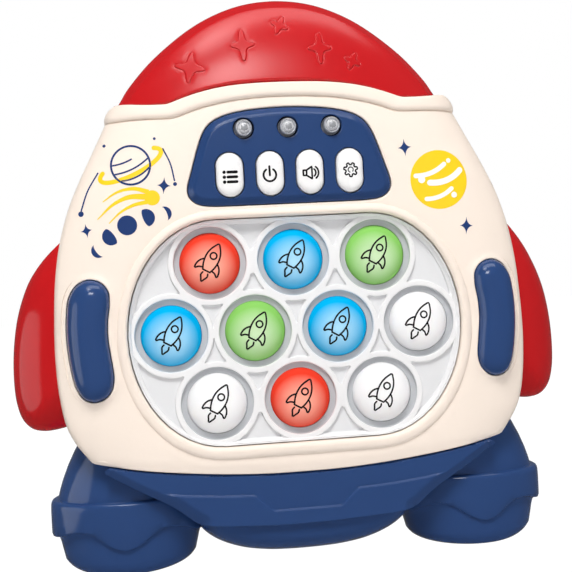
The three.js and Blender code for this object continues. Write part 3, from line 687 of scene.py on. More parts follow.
def painted_lens(name, light, dark):
    """Opaque lamp lens whose colour zones paint what a clear lens over a bright reflector shows: silver-grey with fine
    speckle and a wet coat, and on the ring a near-white painted reflection.
    """
    m, t, b, N, L = new_material(name)
    tc = N.new("ShaderNodeTexCoord")
    n = N.new("ShaderNodeTexVoronoi")
    n.inputs["Scale"].default_value = 2600.0
    L.new(tc.outputs["Object"], n.inputs["Vector"])
    r = N.new("ShaderNodeValToRGB")
    r.color_ramp.elements[0].color, r.color_ramp.elements[1].color = light, dark
    r.color_ramp.elements[0].position, r.color_ramp.elements[1].position = 0.1, 0.9
    L.new(n.outputs["Distance"], r.inputs["Fac"])
    L.new(r.outputs["Color"], b.inputs["Base Color"])
    bump = N.new("ShaderNodeBump")
    bump.inputs["Strength"].default_value, bump.inputs["Distance"].default_value = 0.04, 0.0002
    L.new(n.outputs["Distance"], bump.inputs["Height"])
    L.new(bump.outputs["Normal"], b.inputs["Normal"])
    b.inputs["Metallic"].default_value = 0.3
    b.inputs["Roughness"].default_value = 0.3
    b.inputs["Coat Weight"].default_value = 1.0
    b.inputs["Coat Roughness"].default_value = 0.03
    return m


# Outer silver, darker core and near-white ring: the ring's white is a painted reflection of the reflector.
LENS = painted_lens("lamp_lens", rgb(216, 218, 222), rgb(158, 161, 168))
LENS_CORE = painted_lens("lamp_core", rgb(182, 184, 188), rgb(156, 158, 164))
LENS_RING_PAINTED_REFLECTION = painted_lens("lamp_ring_painted_reflection", rgb(252, 252, 254), rgb(236, 238, 242))

# ------------------------------------------------------------------ outlines (x, z)
CASING_HALF = [
    (0, -44.3), (12, -44.15), (24, -43.45), (37.5, -42.1), (50, -40.4), (57, -39.15), (62, -38.2), (64.3, -37.8), (65.25, -37.45), (66.1, -36.5), (67.6, -34.6),
    (69.6, -31.9), (72.2, -26.5), (74.0, -17), (74.7, -5), (74.4, 7), (73.5, 19), (71.6, 30), (68.4, 40.6), (64.4, 49.6),
    (61.2, 55.9), (58.2, 61.8), (56.3, 65.6), (55.85, 66.5), (56.0, 67.1), (55.95, 68.0), (55.4, 69.5), (54.3, 70.7), (52.7, 71.4), (50.8, 71.5), (48.4, 71.3), (45, 70.95),
    (41, 70.75), (38.5, 70.75), (36.7, 70.85), (35.2, 71.25), (33.3, 71.95), (30.4, 72.95), (27.2, 73.95), (23, 74.95), (19.3, 75.6), (14, 76.2), (7, 76.55), (0, 76.62)]
WINDOW_GAP = 0.35


def window(grow, step=0.8):
    half = [(0, -35.1 - grow)] + [(24 * i / 5, -35.1 - grow) for i in range(1, 5)]
    for i in range(25):
        a = -math.pi / 2 + math.pi * i / 24
        half.append((24 + (28.4 + grow) * math.cos(a), (35.1 + grow) * math.sin(a)))
    half += [(24 * i / 5, 35.1 + grow) for i in range(4, 0, -1)] + [(0, 35.1 + grow)]
    return resample(mirror(half), step)


PANEL_HALF = [
    (0, 39.0), (8, 39.0), (16, 39.0), (24, 39.1), (28, 39.6), (30.4, 40.9), (31.6, 42.9), (31.6, 45.2), (30.4, 49.2), (28.4, 55.6),
    (26.8, 60.0), (25.2, 62.9), (22.8, 65.1), (19.8, 66.5), (15.0, 67.7), (8, 68.5), (0, 68.8)]
SKIRT_HALF = [
    (0, -60.4), (6, -60.4), (12, -60.2), (23.5, -59.6), (30.6, -58.95), (33.0, -58.7), (34.4, -58.1), (36.4, -56.5), (38.9, -54.5), (41.9, -52.4), (46.9, -49.5),
    (51.7, -46.9), (58.6, -42.7), (61.0, -41.0), (61.4, -39.7), (59.3, -38.9), (48, -38.4), (36, -39.3), (24, -40.0), (12, -40.35), (0, -40.5)]
BELLY_HALF = [
    (0, -71.4), (6, -71.3), (12, -70.9), (19.5, -69.6), (26.5, -67.0), (30.8, -64.2), (33.4, -61.2), (34.6, -57.7), (34.9, -52),
    (34.9, -46), (34.9, -40.2), (24, -40.3), (12, -40.5), (0, -40.6)]
GRIP = [  # right grip, measured round its edge and evened out
    (63.4, 18.45), (66.8, 17.0), (69.3, 13.4), (70.3, 8.4), (70.65, 2.6), (70.4, -3.2), (69.6, -9.6), (68.3, -14.6), (66.2, -17.6),
    (63.3, -18.6), (60.2, -17.8), (57.8, -15.2), (57.0, -11.8), (57.5, -6.0), (58.15, 0.2), (57.95, 5.8), (57.2, 10.9), (57.5, 14.9), (59.8, 17.6)]

casing = spline(mirror(CASING_HALF), 0.9)
win = window(0.0)
panel_line = spline(mirror(PANEL_HALF), 0.7)
grip_r = ccw(spline(GRIP, 0.6))
grip_l = ccw(grip_r * np.array([-1, 1]))
grip_hole_r = ccw(shifted(grip_r, -0.12))
grip_hole_l = ccw(shifted(grip_l, -0.12))

# half width of the rocket against height, off the casing's and the nose's own outlines
NOSE_SIDE = [(52.6, 71.3), (51.7, 72.7), (50.5, 74.6), (48.8, 77.3), (45.3, 81.6), (41.2, 86.0), (36.0, 90.6), (30.0, 95.2), (24.6, 98.6), (19.0, 101.3),
             (13.4, 103.3), (8.0, 104.5), (3.6, 104.95), (0, 105.05)]
side = casing[(casing[:, 0] > 52.6)]
side = side[np.argsort(side[:, 1])]
side = side[(side[:, 1] > -37.2) & (side[:, 1] < 69.3)]
_ws, _zs = np.concatenate([[58, 62.5], side[:, 0]]), np.concatenate([[-52, -42], side[:, 1]])
_zs2, _ws2 = np.concatenate([_zs, [71.4, 77, 86, 106]]), np.concatenate([_ws, [54.6, 49, 41, 36]])


def half_width(z):
    return np.interp(z, _zs2, _ws2)


def roll(u, start):
    t = np.clip((u - start) / (1 - start), 0, 1)
    return 1 - np.sqrt(np.maximum(0, 1 - t * t))


def face(P):
    """Plain front of the casing."""
    x, z = P[:, 0], P[:, 1]
    u = np.minimum(np.abs(x) / half_width(z), 0.9995)
    drop = 7.0 + 0.045 * np.clip(z, -45, 75)
    return -2.0 + 0.0009 * np.maximum(0, z - 35) ** 2 + drop * roll(u, 0.70)


# crease below the raised lip at the top of the casing
LIP_HALF = [(0, 72.42), (6, 72.32), (10, 72.1), (14, 71.75), (17.8, 71.25), (24, 70.1), (27, 69.35), (30, 68.4), (33, 67.25), (34.6, 66.8), (36.7, 66.6),
            (40, 66.55), (43.4, 66.55), (47, 66.55), (50.5, 66.5), (54, 66.45), (62, 66.3)]
LIP = spline([(-x, z) for x, z in LIP_HALF[::-1]] + LIP_HALF[1:], 0.7, closed=False)


def lip_height(P):
    z0 = np.interp(P[:, 0], LIP[:, 0], LIP[:, 1])
    s = np.where(P[:, 1] > z0 - 4, distance(P, LIP, closed=False), 5.0) * np.where(P[:, 1] > z0, 1, -1)
    return s


# outer foot of the window bezel: wider at the bottom than at the top
def bezel_line():
    p = window(0.0, 0.8)
    q = ccw(p)
    e = np.roll(q, -1, 0) - np.roll(q, 1, 0)
    e /= np.linalg.norm(e, axis=1)[:, None]
    n = np.stack([e[:, 1], -e[:, 0]], 1)
    w = np.interp(n[:, 1], [-1, -0.3, 0.3, 1], [3.7, 3.3, 3.0, 2.7])
    return ccw(resample(q + n * w[:, None], 0.8))


bezel = bezel_line()
L_CASING = casing


def shell_surface(P, relief=True):
    y = face(P)
    if not relief:
        return y
    d = -sdf(P, L_CASING)
    top = np.clip((P[:, 1] - 69.5) / 2.0, 0, 1) * np.clip((53.5 - np.abs(P[:, 0])) / 2.0, 0, 1)
    y = y + fillet(np.maximum(d, 0), np.interp(P[:, 1], [-39.0, -33.0], [0.4, 1.4]) - 1.05 * top) + 0.45 * (1 - soft(d, 3.4)) * np.clip((-36.0 - P[:, 1]) / 3, 0, 1)
    s = lip_height(P)
    y = y - 1.0 * bead(s, 1.5) + 0.45 * np.exp(-((s + 0.12) / 0.14) ** 2)
    dw = sdf(P, win, 8)
    sb = -sdf(P, bezel, 3)
    sb = np.where(sb > -900, sb, -9)
    y = y - 0.95 * bead(sb, 2.3) + 0.1 * np.exp(-((sb + 0.1) / 0.45) ** 2) * (sb > -2) + fillet(np.where(dw < 900, np.maximum(dw, 0), 9), 1.3)
    for g in (grip_hole_l, grip_hole_r):
        dg = sdf(P, g, 6)
        dg = np.where(dg < 900, np.maximum(dg, 0), 9)
        y = y - 0.6 * (1 - soft(dg, 2.4)) + fillet(dg, 0.3)
    dp = sdf(P, panel_line, 3)
    y = y + fillet(np.where(dp < 900, np.maximum(dp - 0.25, 0), 9), 0.45)
    return y


def print_surface(P):
    return shell_surface(np.asarray(P, float))


# ------------------------------------------------------------------ front casing
def step_z(x):
    return -40.1 + 0.0009 * x * x


def rear_follow(p, y):
    q = p.copy()
    q[:, 1] = np.maximum(q[:, 1], np.where(np.abs(q[:, 0]) < 66, step_z(q[:, 0]), -99))
    return q


panel_hole = ccw(shifted(ccw(panel_line), -0.28))
win_hole = ccw(win)
lip_rows = [LIP + np.array([0, dz]) for dz in (-0.75, -0.46, -0.3, -0.14, 0.02, 0.12, 0.28, 0.5, 0.8, 1.15, 1.6, 2.3)]
bez_rows = [shifted(bezel, d) for d in (-0.5, -0.05, 0.06, 0.25, 0.6, 1.1, 1.6, 2.1)]
V, F = panel(
    casing, [win_hole, panel_hole, grip_hole_l, grip_hole_r], shell_surface,
    walls=[lambda p, y: (p, np.maximum(y + 0.02, 0.9)), lambda p, y: (rear_follow(p, y), np.maximum(y + 0.02, 0.9)),
           lambda p, y: (p, (y + PARTING) / 2), to_y(PARTING - 0.4), inset(0.22, PARTING - 0.03)],
    hole_walls=[lambda p, y: (p, y + 1.0), lambda p, y: (p, y + 2.4)],
    spacing=1.7, bands=(0.08, 0.25, 0.5, 0.9, 1.4, 2.0, 2.9, 4.0), hole_bands=(0.12, 0.32, 0.6, 0.95, 1.35, 1.9), rows=lip_rows + bez_rows)
shell = mesh_object("front_casing", V, F, CREAM, replaces=("front_shell",), slot="cream_plastic", sharp=30)
sol = shell.modifiers.new("wall", "SOLIDIFY")
sol.thickness, sol.offset = 0.0016, -1

# ------------------------------------------------------------------ rear casing
def back_face(P):
    x, z = P[:, 0], P[:, 1]
    u = np.minimum(np.abs(x) / half_width(z), 0.9995)
    return 38.0 - 0.0006 * np.maximum(0, z - 40) ** 2 - 9.0 * roll(u, 0.70)


rear_line = rear_follow(casing, 0)
rear_line = resample(rear_line, 0.9)


def rounded_box(x0, x1, z0, z1, r, n=7):
    out = []
    for cx, cz, a0 in ((x1 - r, z0 + r, -90), (x1 - r, z1 - r, 0), (x0 + r, z1 - r, 90), (x0 + r, z0 + r, 180)):
        out += [(cx + r * math.cos(math.radians(a0 + 90 * i / (n - 1))), cz + r * math.sin(math.radians(a0 + 90 * i / (n - 1)))) for i in range(n)]
    return np.array(out)


def capsule(cx, cz, r, half, n=16):
    out = []
    for k, a0 in ((1, 0), (-1, 180)):
        out += [(cx + r * math.cos(math.radians(a0 + 180 * i / n)), cz + k * half + r * math.sin(math.radians(a0 + 180 * i / n))) for i in range(n + 1)]
    return np.array(out)


door_hole = resample(rounded_box(-28.3, 28.3, -28.3, 19.8, 2.8), 1.2)
slots = [resample(capsule(i * 4.4, 45, 1.0, 9.5 - 1.7 * i * i), 0.5) for i in (-2, -1, 0, 1, 2)]
wells = [circle(x, z, 3.3, 36) for x, z in SCREWS]
rear_holes = [door_hole] + slots + wells


def rear_surface(P):
    y = back_face(P)
    y = y - fillet(np.maximum(-sdf(P, rear_line), 0), 2.2)
    d = np.maximum(sdf(P, door_hole, 6), 0)
    y = y - fillet(d, 0.5) * (d < 6)
    # shallow dish round the speaker slots
    e = np.hypot(P[:, 0] / 13.0, (P[:, 1] - 45) / 14.5)
    y = y - 0.8 * (1 - soft(e - 0.88, 0.12))
    for w in wells:
        d = np.maximum(sdf(P, w, 4), 0)
        y = y - fillet(d, 0.5) * (d < 4)
    for s in slots:
        d = np.maximum(sdf(P, s, 2), 0)
        y = y - fillet(d, 0.3) * (d < 2)
    return y


dish_rows = [np.stack([13.0 * k * np.cos(t), 45 + 14.5 * k * np.sin(t)], 1) for k in (0.87, 0.91, 0.95, 1.0)
             for t in [np.linspace(0, 2 * math.pi, 100, endpoint=False)]]
well_walls = [to_y(20.6), inset(-0.6, 19.6), inset(-2.0, 19.5)]
V, F = panel(
    rear_line, rear_holes, rear_surface, walls=[lambda p, y: (p, y - 0.5), to_y(24.5), to_y(PARTING + 0.4), inset(0.22, PARTING + 0.03)],
    hole_walls=[[lambda p, y: (p, y - 1.7)]] + [[lambda p, y: (p, y - 1.7)]] * 5 + [well_walls] * 6,
    flip=True, spacing=3.0, bands=(0.1, 0.35, 0.7, 1.2, 1.8, 2.6, 3.8), hole_bands=(0.14, 0.34, 0.6), rows=dish_rows)
rear = mesh_object("rear_casing", V, F, CREAM, replaces=("rear_shell",), slot="cream_plastic", sharp=30)
sol = rear.modifiers.new("wall", "SOLIDIFY")
sol.thickness, sol.offset = 0.0014, -1

# ------------------------------------------------------------------ red nose
NOSE_SIDE = np.array(NOSE_SIDE)
NOSE_FOOT = [(0, 75.3), (7, 75.2), (14, 74.9), (19.3, 74.3), (23, 73.65), (27.2, 72.65), (30.4, 71.65), (33.3, 70.65), (35.2, 69.95), (36.7, 69.55), (38.5, 69.45), (41, 69.45), (45, 69.6), (48.4, 69.9), (50.9, 70.3)]
nose_line = spline([(x, z) for x, z in NOSE_SIDE] + [(-x, z) for x, z in NOSE_SIDE[::-1][1:]], 0.6, closed=False)
nose_line = nose_line[nose_line[:, 0] > 0.3]
nose_line = np.vstack([nose_line, [[0, 105.05]], nose_line[::-1] * np.array([-1, 1])])
foot_line = resample([(-x, z) for x, z in NOSE_FOOT[::-1]] + [(x, z) for x, z in NOSE_FOOT[1:]], 0.9, closed=False)
nose_loop = ccw(np.vstack([nose_line, foot_line]))
_nz = nose_line[nose_line[:, 0] > 0]
_nz = _nz[np.argsort(_nz[:, 1])]

STARS = [(-28.6, 82.9, 4.8, 5.0, -11), (-11.9, 89.4, 3.8, 5.2, 2), (0.2, 95.6, 3.05, 3.3, -26), (12.4, 87.8, 3.8, 5.2, 0), (22.7, 83.4, 2.9, 3.05, -26)]


def soft_star(cx, cz, w, h, deg):
    """Low four-pointed star with hollow sides and rounded tips."""
    a = [(0, h), (0.34, h - 0.12), (0.58, h - 0.5), (0.82, h - 1.25), (0.33 * w + 0.08, 0.27 * h + 0.08), (w - 1.25, 0.82), (w - 0.5, 0.58), (w - 0.12, 0.34), (w, 0)]
    out = a + [(x, -z) for x, z in a[::-1]][1:] + [(-x, -z) for x, z in a][1:] + [(-x, z) for x, z in a[::-1]][1:-1]
    return ccw(turned(spline(out, 0.22), deg, cx, cz))


star_loops = [soft_star(*s) for s in STARS]


def nose_width(z):
    return np.interp(z, _nz[:, 1], _nz[:, 0])


nose_side = nose_line[nose_line[:, 1] > 72.0]
top_line = casing[(casing[:, 1] > 70.3) & (np.abs(casing[:, 0]) < 52.2)]
top_line = top_line[np.argsort(top_line[:, 0])]


def nose_plain(P):
    x, z = P[:, 0], P[:, 1]
    t = np.clip((z - 70) / 35.15, 0, 0.9995)
    mid = 1.9 + 11.1 * (1 - (1 - t ** 1.85) ** (1 / 2.1))
    u = np.clip(np.abs(x) / np.maximum(nose_width(z), 0.5), 0, 0.9997)
    return mid + (13.2 - mid) * (1 - (1 - u ** 2.3) ** (1 / 2.2))


def nose_surface(P):
    y = nose_plain(P)
    d = distance(P, nose_side, closed=False)
    y = np.where(d < 0.015, 13.15, y) + 0.55 * (1 - soft(d - 1.7, 1.3))
    g = P[:, 1] - np.interp(P[:, 0], top_line[:, 0], top_line[:, 1])
    y = y + 0.9 * (1 - bead(g - 1.0, 0.6)) + 3.4 * soft(-g + 1.1, 0.3)
    for s in star_loops:
        d = sdf(P, s, 2.5)
        y = y - np.where(d < 900, 0.25 * soft(-d + 0.02, 0.2) - 0.1 * np.exp(-((d - 0.12) / 0.1) ** 2), 0)
    return y


star_rows = []
for s in star_loops:
    star_rows += [s] + [ccw(shifted(s, k)) for k in (-0.12, -0.24, -0.38, 0.1, 0.2, 0.42)]
V, F = panel(nose_loop, [], nose_surface, walls=[to_y(14.6), to_y(PARTING - 0.4), inset(0.2, PARTING - 0.03)], spacing=1.4, row_gap=0.35,
             bands=(0.04, 0.14, 0.32, 0.6, 1.0, 1.4, 1.75, 2.1, 2.5, 2.9, 3.4, 4.3),
             rows=star_rows + [top_line + np.array([0, k]) for k in (-0.4, 0.1, 0.5, 0.7, 0.8, 0.9, 1.0, 1.1, 1.22, 1.38, 1.6, 1.95, 2.4)])
nose_f = mesh_object("nose_cone_front", V, F, NOSE_RED, replaces=("nose_front",), slot="red_plastic", sharp=80)
sol = nose_f.modifiers.new("wall", "SOLIDIFY")
sol.thickness, sol.offset = 0.0014, -1


def nose_back(P):
    x, z = P[:, 0], P[:, 1]
    t = np.clip((z - 70) / 35.15, 0, 0.9995)
    mid = 34.6 - 13 * (1 - (1 - t ** 2.6) ** (1 / 2.6))
    u = np.clip(np.abs(x) / np.maximum(nose_width(z), 0.5), 0, 0.9997)
    y = mid - (mid - 19) * (1 - (1 - u ** 2.8) ** (1 / 2.8))
    return np.where(distance(P, nose_side, closed=False) < 0.015, np.minimum(mid, 19.5), y)


V, F = panel(nose_loop, [], nose_back, walls=[to_y(17.6), to_y(PARTING + 0.4), inset(0.2, PARTING + 0.03)], flip=True, spacing=2.4,
             bands=(0.04, 0.14, 0.32, 0.6, 1.0, 1.5, 2.2, 3.1, 4.3))
nose_r = mesh_object("nose_cone_rear", V, F, NOSE_RED, replaces=("nose_rear",), slot="red_plastic", sharp=50)
sol = nose_r.modifiers.new("wall", "SOLIDIFY")
sol.thickness, sol.offset = 0.0014, -1

# ------------------------------------------------------------------ fins
FIN_EDGE = [(69.5, 34.0), (72.6, 31.4), (77.7, 26.0), (82.2, 19.2), (86.0, 9.4), (88.0, -1.0), (88.6, -11.8), (88.0, -19.4), (86.4, -24.4),
            (83.6, -27.4), (79.8, -28.4), (75.0, -28.0), (71.6, -27.2), (70.6, -26.9)]
fin_edge = spline(FIN_EDGE, 0.7, closed=False)
fin_root = np.array([(70.2, -20), (71.6, -12), (72.4, -2), (72.4, 8), (71.4, 18), (69.6, 28)])
fin_loop = ccw(np.vstack([fin_edge, fin_root]))


def fin_half(P):
    b = np.interp(P[:, 1], [-30, 10, 17, 22, 26, 29, 31.5, 34], [11.4, 11.3, 10.6, 9.2, 7.2, 5.2, 3.6, 2.2])
    t = np.clip(distance(P, fin_edge, closed=False) / 20.0, 0, 1)
    return np.maximum(0.05, b * (1 - (1 - t) ** 2.0) ** (1 / 1.95))


V, F = panel(fin_loop, [], lambda P: 17 - fin_half(P), back_y=lambda P: 17 + fin_half(P), spacing=1.5,
             bands=(0.04, 0.14, 0.32, 0.6, 1.0, 1.5, 2.2, 3.1, 4.3))
W = V.copy()
W[:, 2] += 2.2 * np.clip((V[:, 2] - 18) / 16, 0, 1)
mesh_object("fin_right", W, F, RED, replaces=("right_fin",), slot="red_plastic", sharp=55)
W = V * np.array([-1, 1, 1])
W[:, 2] -= 1.2 * np.clip((V[:, 2] - 18) / 16, 0, 1)
mesh_object("fin_left", W, [f[::-1] for f in F], RED, replaces=("left_fin",), slot="red_plastic", sharp=55)

# ------------------------------------------------------------------ feet
WAVE = spline([(30, -61.4), (34, -62.4), (36.6, -61.0), (39.5, -60.1), (43.8, -59.7), (47.8, -61.2), (51.6, -63.8), (56.5, -65.6), (61.3, -64.2), (64.8, -61.5),
               (68.9, -59.9), (72.6, -60.0), (76.5, -61.2), (82, -62.6)], 0.6, closed=False)
WAVE = WAVE[np.argsort(WAVE[:, 0])]
FOOT_Y = 19.8


def curve_at(table, z):
    table = np.array(sorted(table))
    return [np.interp(z, table[:, 0], table[:, k]) for k in range(1, table.shape[1])]


FOOT_SOLE = [(-74.0, 51, 62, 9.0), (-73.95, 47.0, 66.5, 11.6), (-73.6, 42.4, 69.9, 13.2), (-73.0, 39.6, 71.9, 14.0), (-72.1, 37.4, 73.6, 14.6), (-71.0, 35.8, 74.9, 15.0), (-69.4, 34.5, 76.1, 15.3),
             (-67.2, 33.4, 77.1, 15.5), (-64.5, 32.7, 77.8, 15.65), (-62.0, 32.4, 78.2, 15.7), (-59.0, 32.3, 78.4, 15.75)]
FOOT_BAND = [(-66.5, 31.4, 79.2, 16.3), (-62.0, 31.2, 79.8, 16.5), (-58.5, 31.3, 80.0, 16.8), (-55.0, 31.7, 80.0, 17.1), (-52.4, 32.2, 79.9, 17.25), (-51.5, 32.5, 79.7, 17.2), (-51.0, 32.9, 79.4, 17.0),
             (-50.7, 33.5, 78.9, 16.6), (-50.55, 34.3, 78.2, 16.0)]
FOOT_ANKLE = [(-50.2, 34.8, 77.5, 15.4), (-48.0, 35.8, 76.9, 15.3), (-44.7, 37.4, 75.8, 15.1), (-40.1, 40.4, 73.9, 14.6), (-35.2, 44.0, 71.4, 13.7), (-32.2, 46.5, 69.4, 12.9), (-30.6, 48.4, 67.6, 12.2)]


def foot_mesh():
    th = np.linspace(0, 2 * math.pi, 132, endpoint=False)
    rings = []

    def ring(z, l, r, d, wave=None, dip=0.0, e=0.94):
        cx, a = (l + r) / 2, (r - l) / 2
        c, s = np.cos(th), np.sin(th)
        x = cx + a * np.sign(c) * np.abs(c) ** e
        y = FOOT_Y + d * np.sign(s) * np.abs(s) ** e
        zz = np.full(len(th), float(z))
        if wave is not None:
            w = np.interp(x, WAVE[:, 0], WAVE[:, 1])
            w = -61.9 + (w + 61.9) * np.clip((FOOT_Y + 9 - y) / 12, 0, 1)   # the wave is on the front and runs out on the sides
            zz = zz * (1 - wave) + (w + dip) * wave
        return np.stack([x, y, zz], 1)

    smooth_sole = spline(FOOT_SOLE, 0.8, closed=False)
    for z, l, r, d in smooth_sole[smooth_sole[:, 0] < -69.2]:
        rings.append(ring(z, l, r, d))
    for k, z in ((0.25, -68.0), (0.6, -66.4), (0.88, -64.6), (1.0, None)):
        l, r, d = curve_at(FOOT_SOLE, z if z else -62.5)
        rings.append(ring(z if z else -62, l, r, d, wave=k, dip=-0.55))
    l, r, d = curve_at(FOOT_SOLE, -62.0)
    rings.append(ring(-62, l - 0.02, r + 0.02, d + 0.02, wave=1.0, dip=-0.06))
    l, r, d = curve_at(FOOT_BAND, -62.0)
    rings.append(ring(-62, l + 0.35, r - 0.35, d - 0.35, wave=1.0, dip=0.0))
    rings.append(ring(-62, l + 0.08, r - 0.08, d - 0.08, wave=1.0, dip=0.22))
    rings.append(ring(-62, l, r, d, wave=1.0, dip=0.6))
    for k, z in ((0.8, -58.8), (0.35, -56.0)):
        l, r, d = curve_at(FOOT_BAND, z)
        rings.append(ring(z, l, r, d, wave=k, dip=0.6))
    for z in (-54.4, -53.2, -52.2, -51.5, -51.2, -51.0, -50.82, -50.7, -50.6, -50.55):
        l, r, d = curve_at(FOOT_BAND, z)
        rings.append(ring(z, l, r, d))
    l, r, d = curve_at(FOOT_ANKLE, -50.2)
    rings.append(ring(-50.45, l - 0.05, r + 0.1, d + 0.1))
    rings.append(ring(-50.1, l, r, d))
    for z in np.arange(-49.2, -30.5, 1.5):
        l, r, d = curve_at(FOOT_ANKLE, z)
        rings.append(ring(z, l, r, d))
    m = len(th)
    V = np.vstack(rings)
    F = grid_faces(len(rings), m)
    n = len(V)
    V = np.vstack([V, rings[0].mean(0), rings[-1].mean(0)])
    F += [(n, (i + 1) % m, i) for i in range(m)]
    b = (len(rings) - 1) * m
    F += [(n + 1, b + i, b + (i + 1) % m) for i in range(m)]
    return V, outward(V, F)


V, F = foot_mesh()
mesh_object("foot_right", V + np.array([1.8, 0, 0]), F, BLUE, replaces=("right_foot",), slot="blue_plastic", sharp=42)
mesh_object("foot_left", V * np.array([-1, 1, 1]) + np.array([0.4, 0, 0]), [f[::-1] for f in F], BLUE, replaces=("left_foot",), slot="blue_plastic", sharp=42)

# ------------------------------------------------------------------ skirt and belly
skirt = resample(spline(mirror(SKIRT_HALF), 0.7), 0.7)
RELIEF_HALF = [(0, -55.6), (9.9, -55.6), (10.6, -55.2), (15.4, -50.9), (16.4, -50.45), (26, -50.0), (37.2, -48.9), (43.5, -47.9), (50.5, -46.2), (58, -43.6)]
relief = np.array([(-x, z) for x, z in RELIEF_HALF[::-1]] + list(RELIEF_HALF[1:]))
relief = resample(relief, 0.5, closed=False)


low_line = casing[(casing[:, 1] < -37.6) & (np.abs(casing[:, 0]) < 64.4)]
low_line = low_line[np.argsort(low_line[:, 0])]


side_line = skirt[(skirt[:, 0] > 33.4) & (skirt[:, 1] < -41.5)]
side_line = side_line[np.argsort(side_line[:, 1])]


def skirt_surface(P):
    q = P.copy()
    q[:, 0] = np.abs(q[:, 0])
    e = distance(q, side_line, closed=False)
    d = np.maximum(-sdf(P, skirt), 0)
    z0 = np.interp(P[:, 0], relief[:, 0], relief[:, 1])
    s = distance(P, relief, closed=False) * np.where(P[:, 1] < z0, 1, -1)
    below = np.interp(P[:, 0], low_line[:, 0], low_line[:, 1]) - P[:, 1]
    y = -1.25 - 0.8 * soft(s + 0.05, 0.55) * soft(e - 2.4, 1.8)
    t = e / 2.6
    y = y + 2.1 * np.where(t < 0.85, 1 - t, np.maximum(0, 1.15 - t) ** 2 / 0.6)
    return y + fillet(np.where(P[:, 1] > -41.0, 9, d), 0.35) + 2.6 * (1 - soft(below - 0.2, 0.45)) * (below < 0.9)


V, F = panel(skirt, [], skirt_surface, walls=[lambda p, y: (p, np.maximum(y + 0.1, 3.5))], back_y=3.9, spacing=1.3, row_gap=0.35,
             bands=(0.1, 0.22, 0.36, 0.8, 1.4, 2.0, 2.3, 2.5, 2.7, 2.9, 3.2, 3.7, 4.3), rows=[relief + np.array([0, k]) for k in (0.3, 0.08, -0.1, -0.28, -0.46, -0.66, -0.9)] + [low_line - np.array([0, k]) for k in (0.05, 0.2, 0.34, 0.5, 0.65, 0.9, 1.3)])
V[:, 0] += 1.3 * np.clip(V[:, 0] / 33, 0, 1) * np.clip((-43 - V[:, 2]) / 8, 0, 1)
mesh_object("skirt", V, F, BLUE, replaces=("base_skirt",), slot="blue_plastic", sharp=40)

belly = resample(spline(mirror(BELLY_HALF), 0.7), 0.8)
belly_edge = resample([p for p in spline(mirror(BELLY_HALF), 0.5) if p[1] < -44], 0.8, closed=True)
_bot = np.array(mirror([p for p in BELLY_HALF if p[1] < -42]))
belly_open = spline(sorted([tuple(p) for p in _bot], key=lambda p: (p[0], -p[1])), 0.8, closed=False)


def belly_half(P):
    d = distance(P, belly_open, closed=False)
    t = np.clip(d / 9.0, 0, 1)
    return np.maximum(0.06, (1 - (1 - t) ** 2.4) ** (1 / 2.4))


V, F = panel(belly, [], lambda P: 19.5 - 19.6 * belly_half(P), back_y=lambda P: 19.5 + 13.5 * belly_half(P), spacing=2.0,
             bands=(0.05, 0.16, 0.36, 0.7, 1.2, 1.8, 2.6, 3.6, 5.0))
V[:, 0] += 1.5 * np.clip(V[:, 0] / 33, 0, 1) * np.clip((-43 - V[:, 2]) / 8, 0, 1)
mesh_object("belly_bowl", V, F, BLUE, replaces=("belly",), slot="blue_plastic", sharp=55)

# ------------------------------------------------------------------ grips
for side_name, loop, sx in (("right", grip_r, 1), ("left", grip_l, -1)):
    def grip_surface(P, loop=loop, sx=sx):
        d = np.maximum(-sdf(P, loop), 0)
        t = np.clip(d / 5.4, 0, 1)
        g = (1 - (1 - t) ** 2.1) ** (1 / 2.1)
        base = face(P) + 0.45
        crown = -5.55 + 0.7 * (P[:, 1] / 18) ** 2 + 0.012 * (P[:, 0] * sx - 63) * np.abs(P[:, 0] * sx - 63)
        return base + (crown - base) * g
    V, F = panel(loop, [], grip_surface, back_y=lambda P: face(P) + 2.4, spacing=0.8, bands=(0.04, 0.13, 0.3, 0.55, 0.9, 1.4, 2.0, 2.7, 3.4, 4.2))
    mesh_object("grip_" + side_name, V, F, BLUE, replaces=(side_name + "_grip",), slot="blue_plastic", sharp=55)


# ------------------------------------------------------------------ control panel
pills = [resample(capsule(x, BUTTON_Z, 4.55, 2.6), 0.5) for x in BUTTON_X]
led_holes = [circle(x, LED_Z, 3.3, 44) for x in LED_X]
panel_loop = ccw(panel_line)
panel_inner = ccw(shifted(panel_loop, 2.05))


def panel_plain(P):
    d = np.maximum(-sdf(P, panel_loop), 0)
    f0 = -2.0 + 0.0009 * np.maximum(0, P[:, 1] - 35) ** 2
    ramp = np.clip(d / 2.05, 0, 1)
    ramp = np.where(d > 1.75, 1 - 0.146 * (1 - soft(d - 1.75, 0.6)), ramp)
    return f0 + 0.3 - 1.5 * ramp + fillet(d, 0.3)


def panel_surface(P):
    y = panel_plain(P)
    for h in pills + led_holes:
        d = np.maximum(sdf(P, h, 3), 0)
        y = y + fillet(d, 0.2) * (d < 3)
    return y


V, F = panel(panel_loop, pills + led_holes, panel_surface, walls=[lambda p, y: (p, y + 1.3)], hole_walls=[lambda p, y: (p, y + 2.2)],
             back_y=lambda P: panel_plain(P) + 2.6, spacing=1.1, bands=(0.07, 0.18, 0.36, 0.8, 1.25, 1.6, 1.76, 1.92, 2.08, 2.24, 2.42, 2.8), hole_bands=(0.08, 0.2, 0.36))
mesh_object("button_panel", V, F, PANEL_BLUE_PAINTED_SHADE, replaces=("control_panel",), slot="blue_plastic", sharp=52)


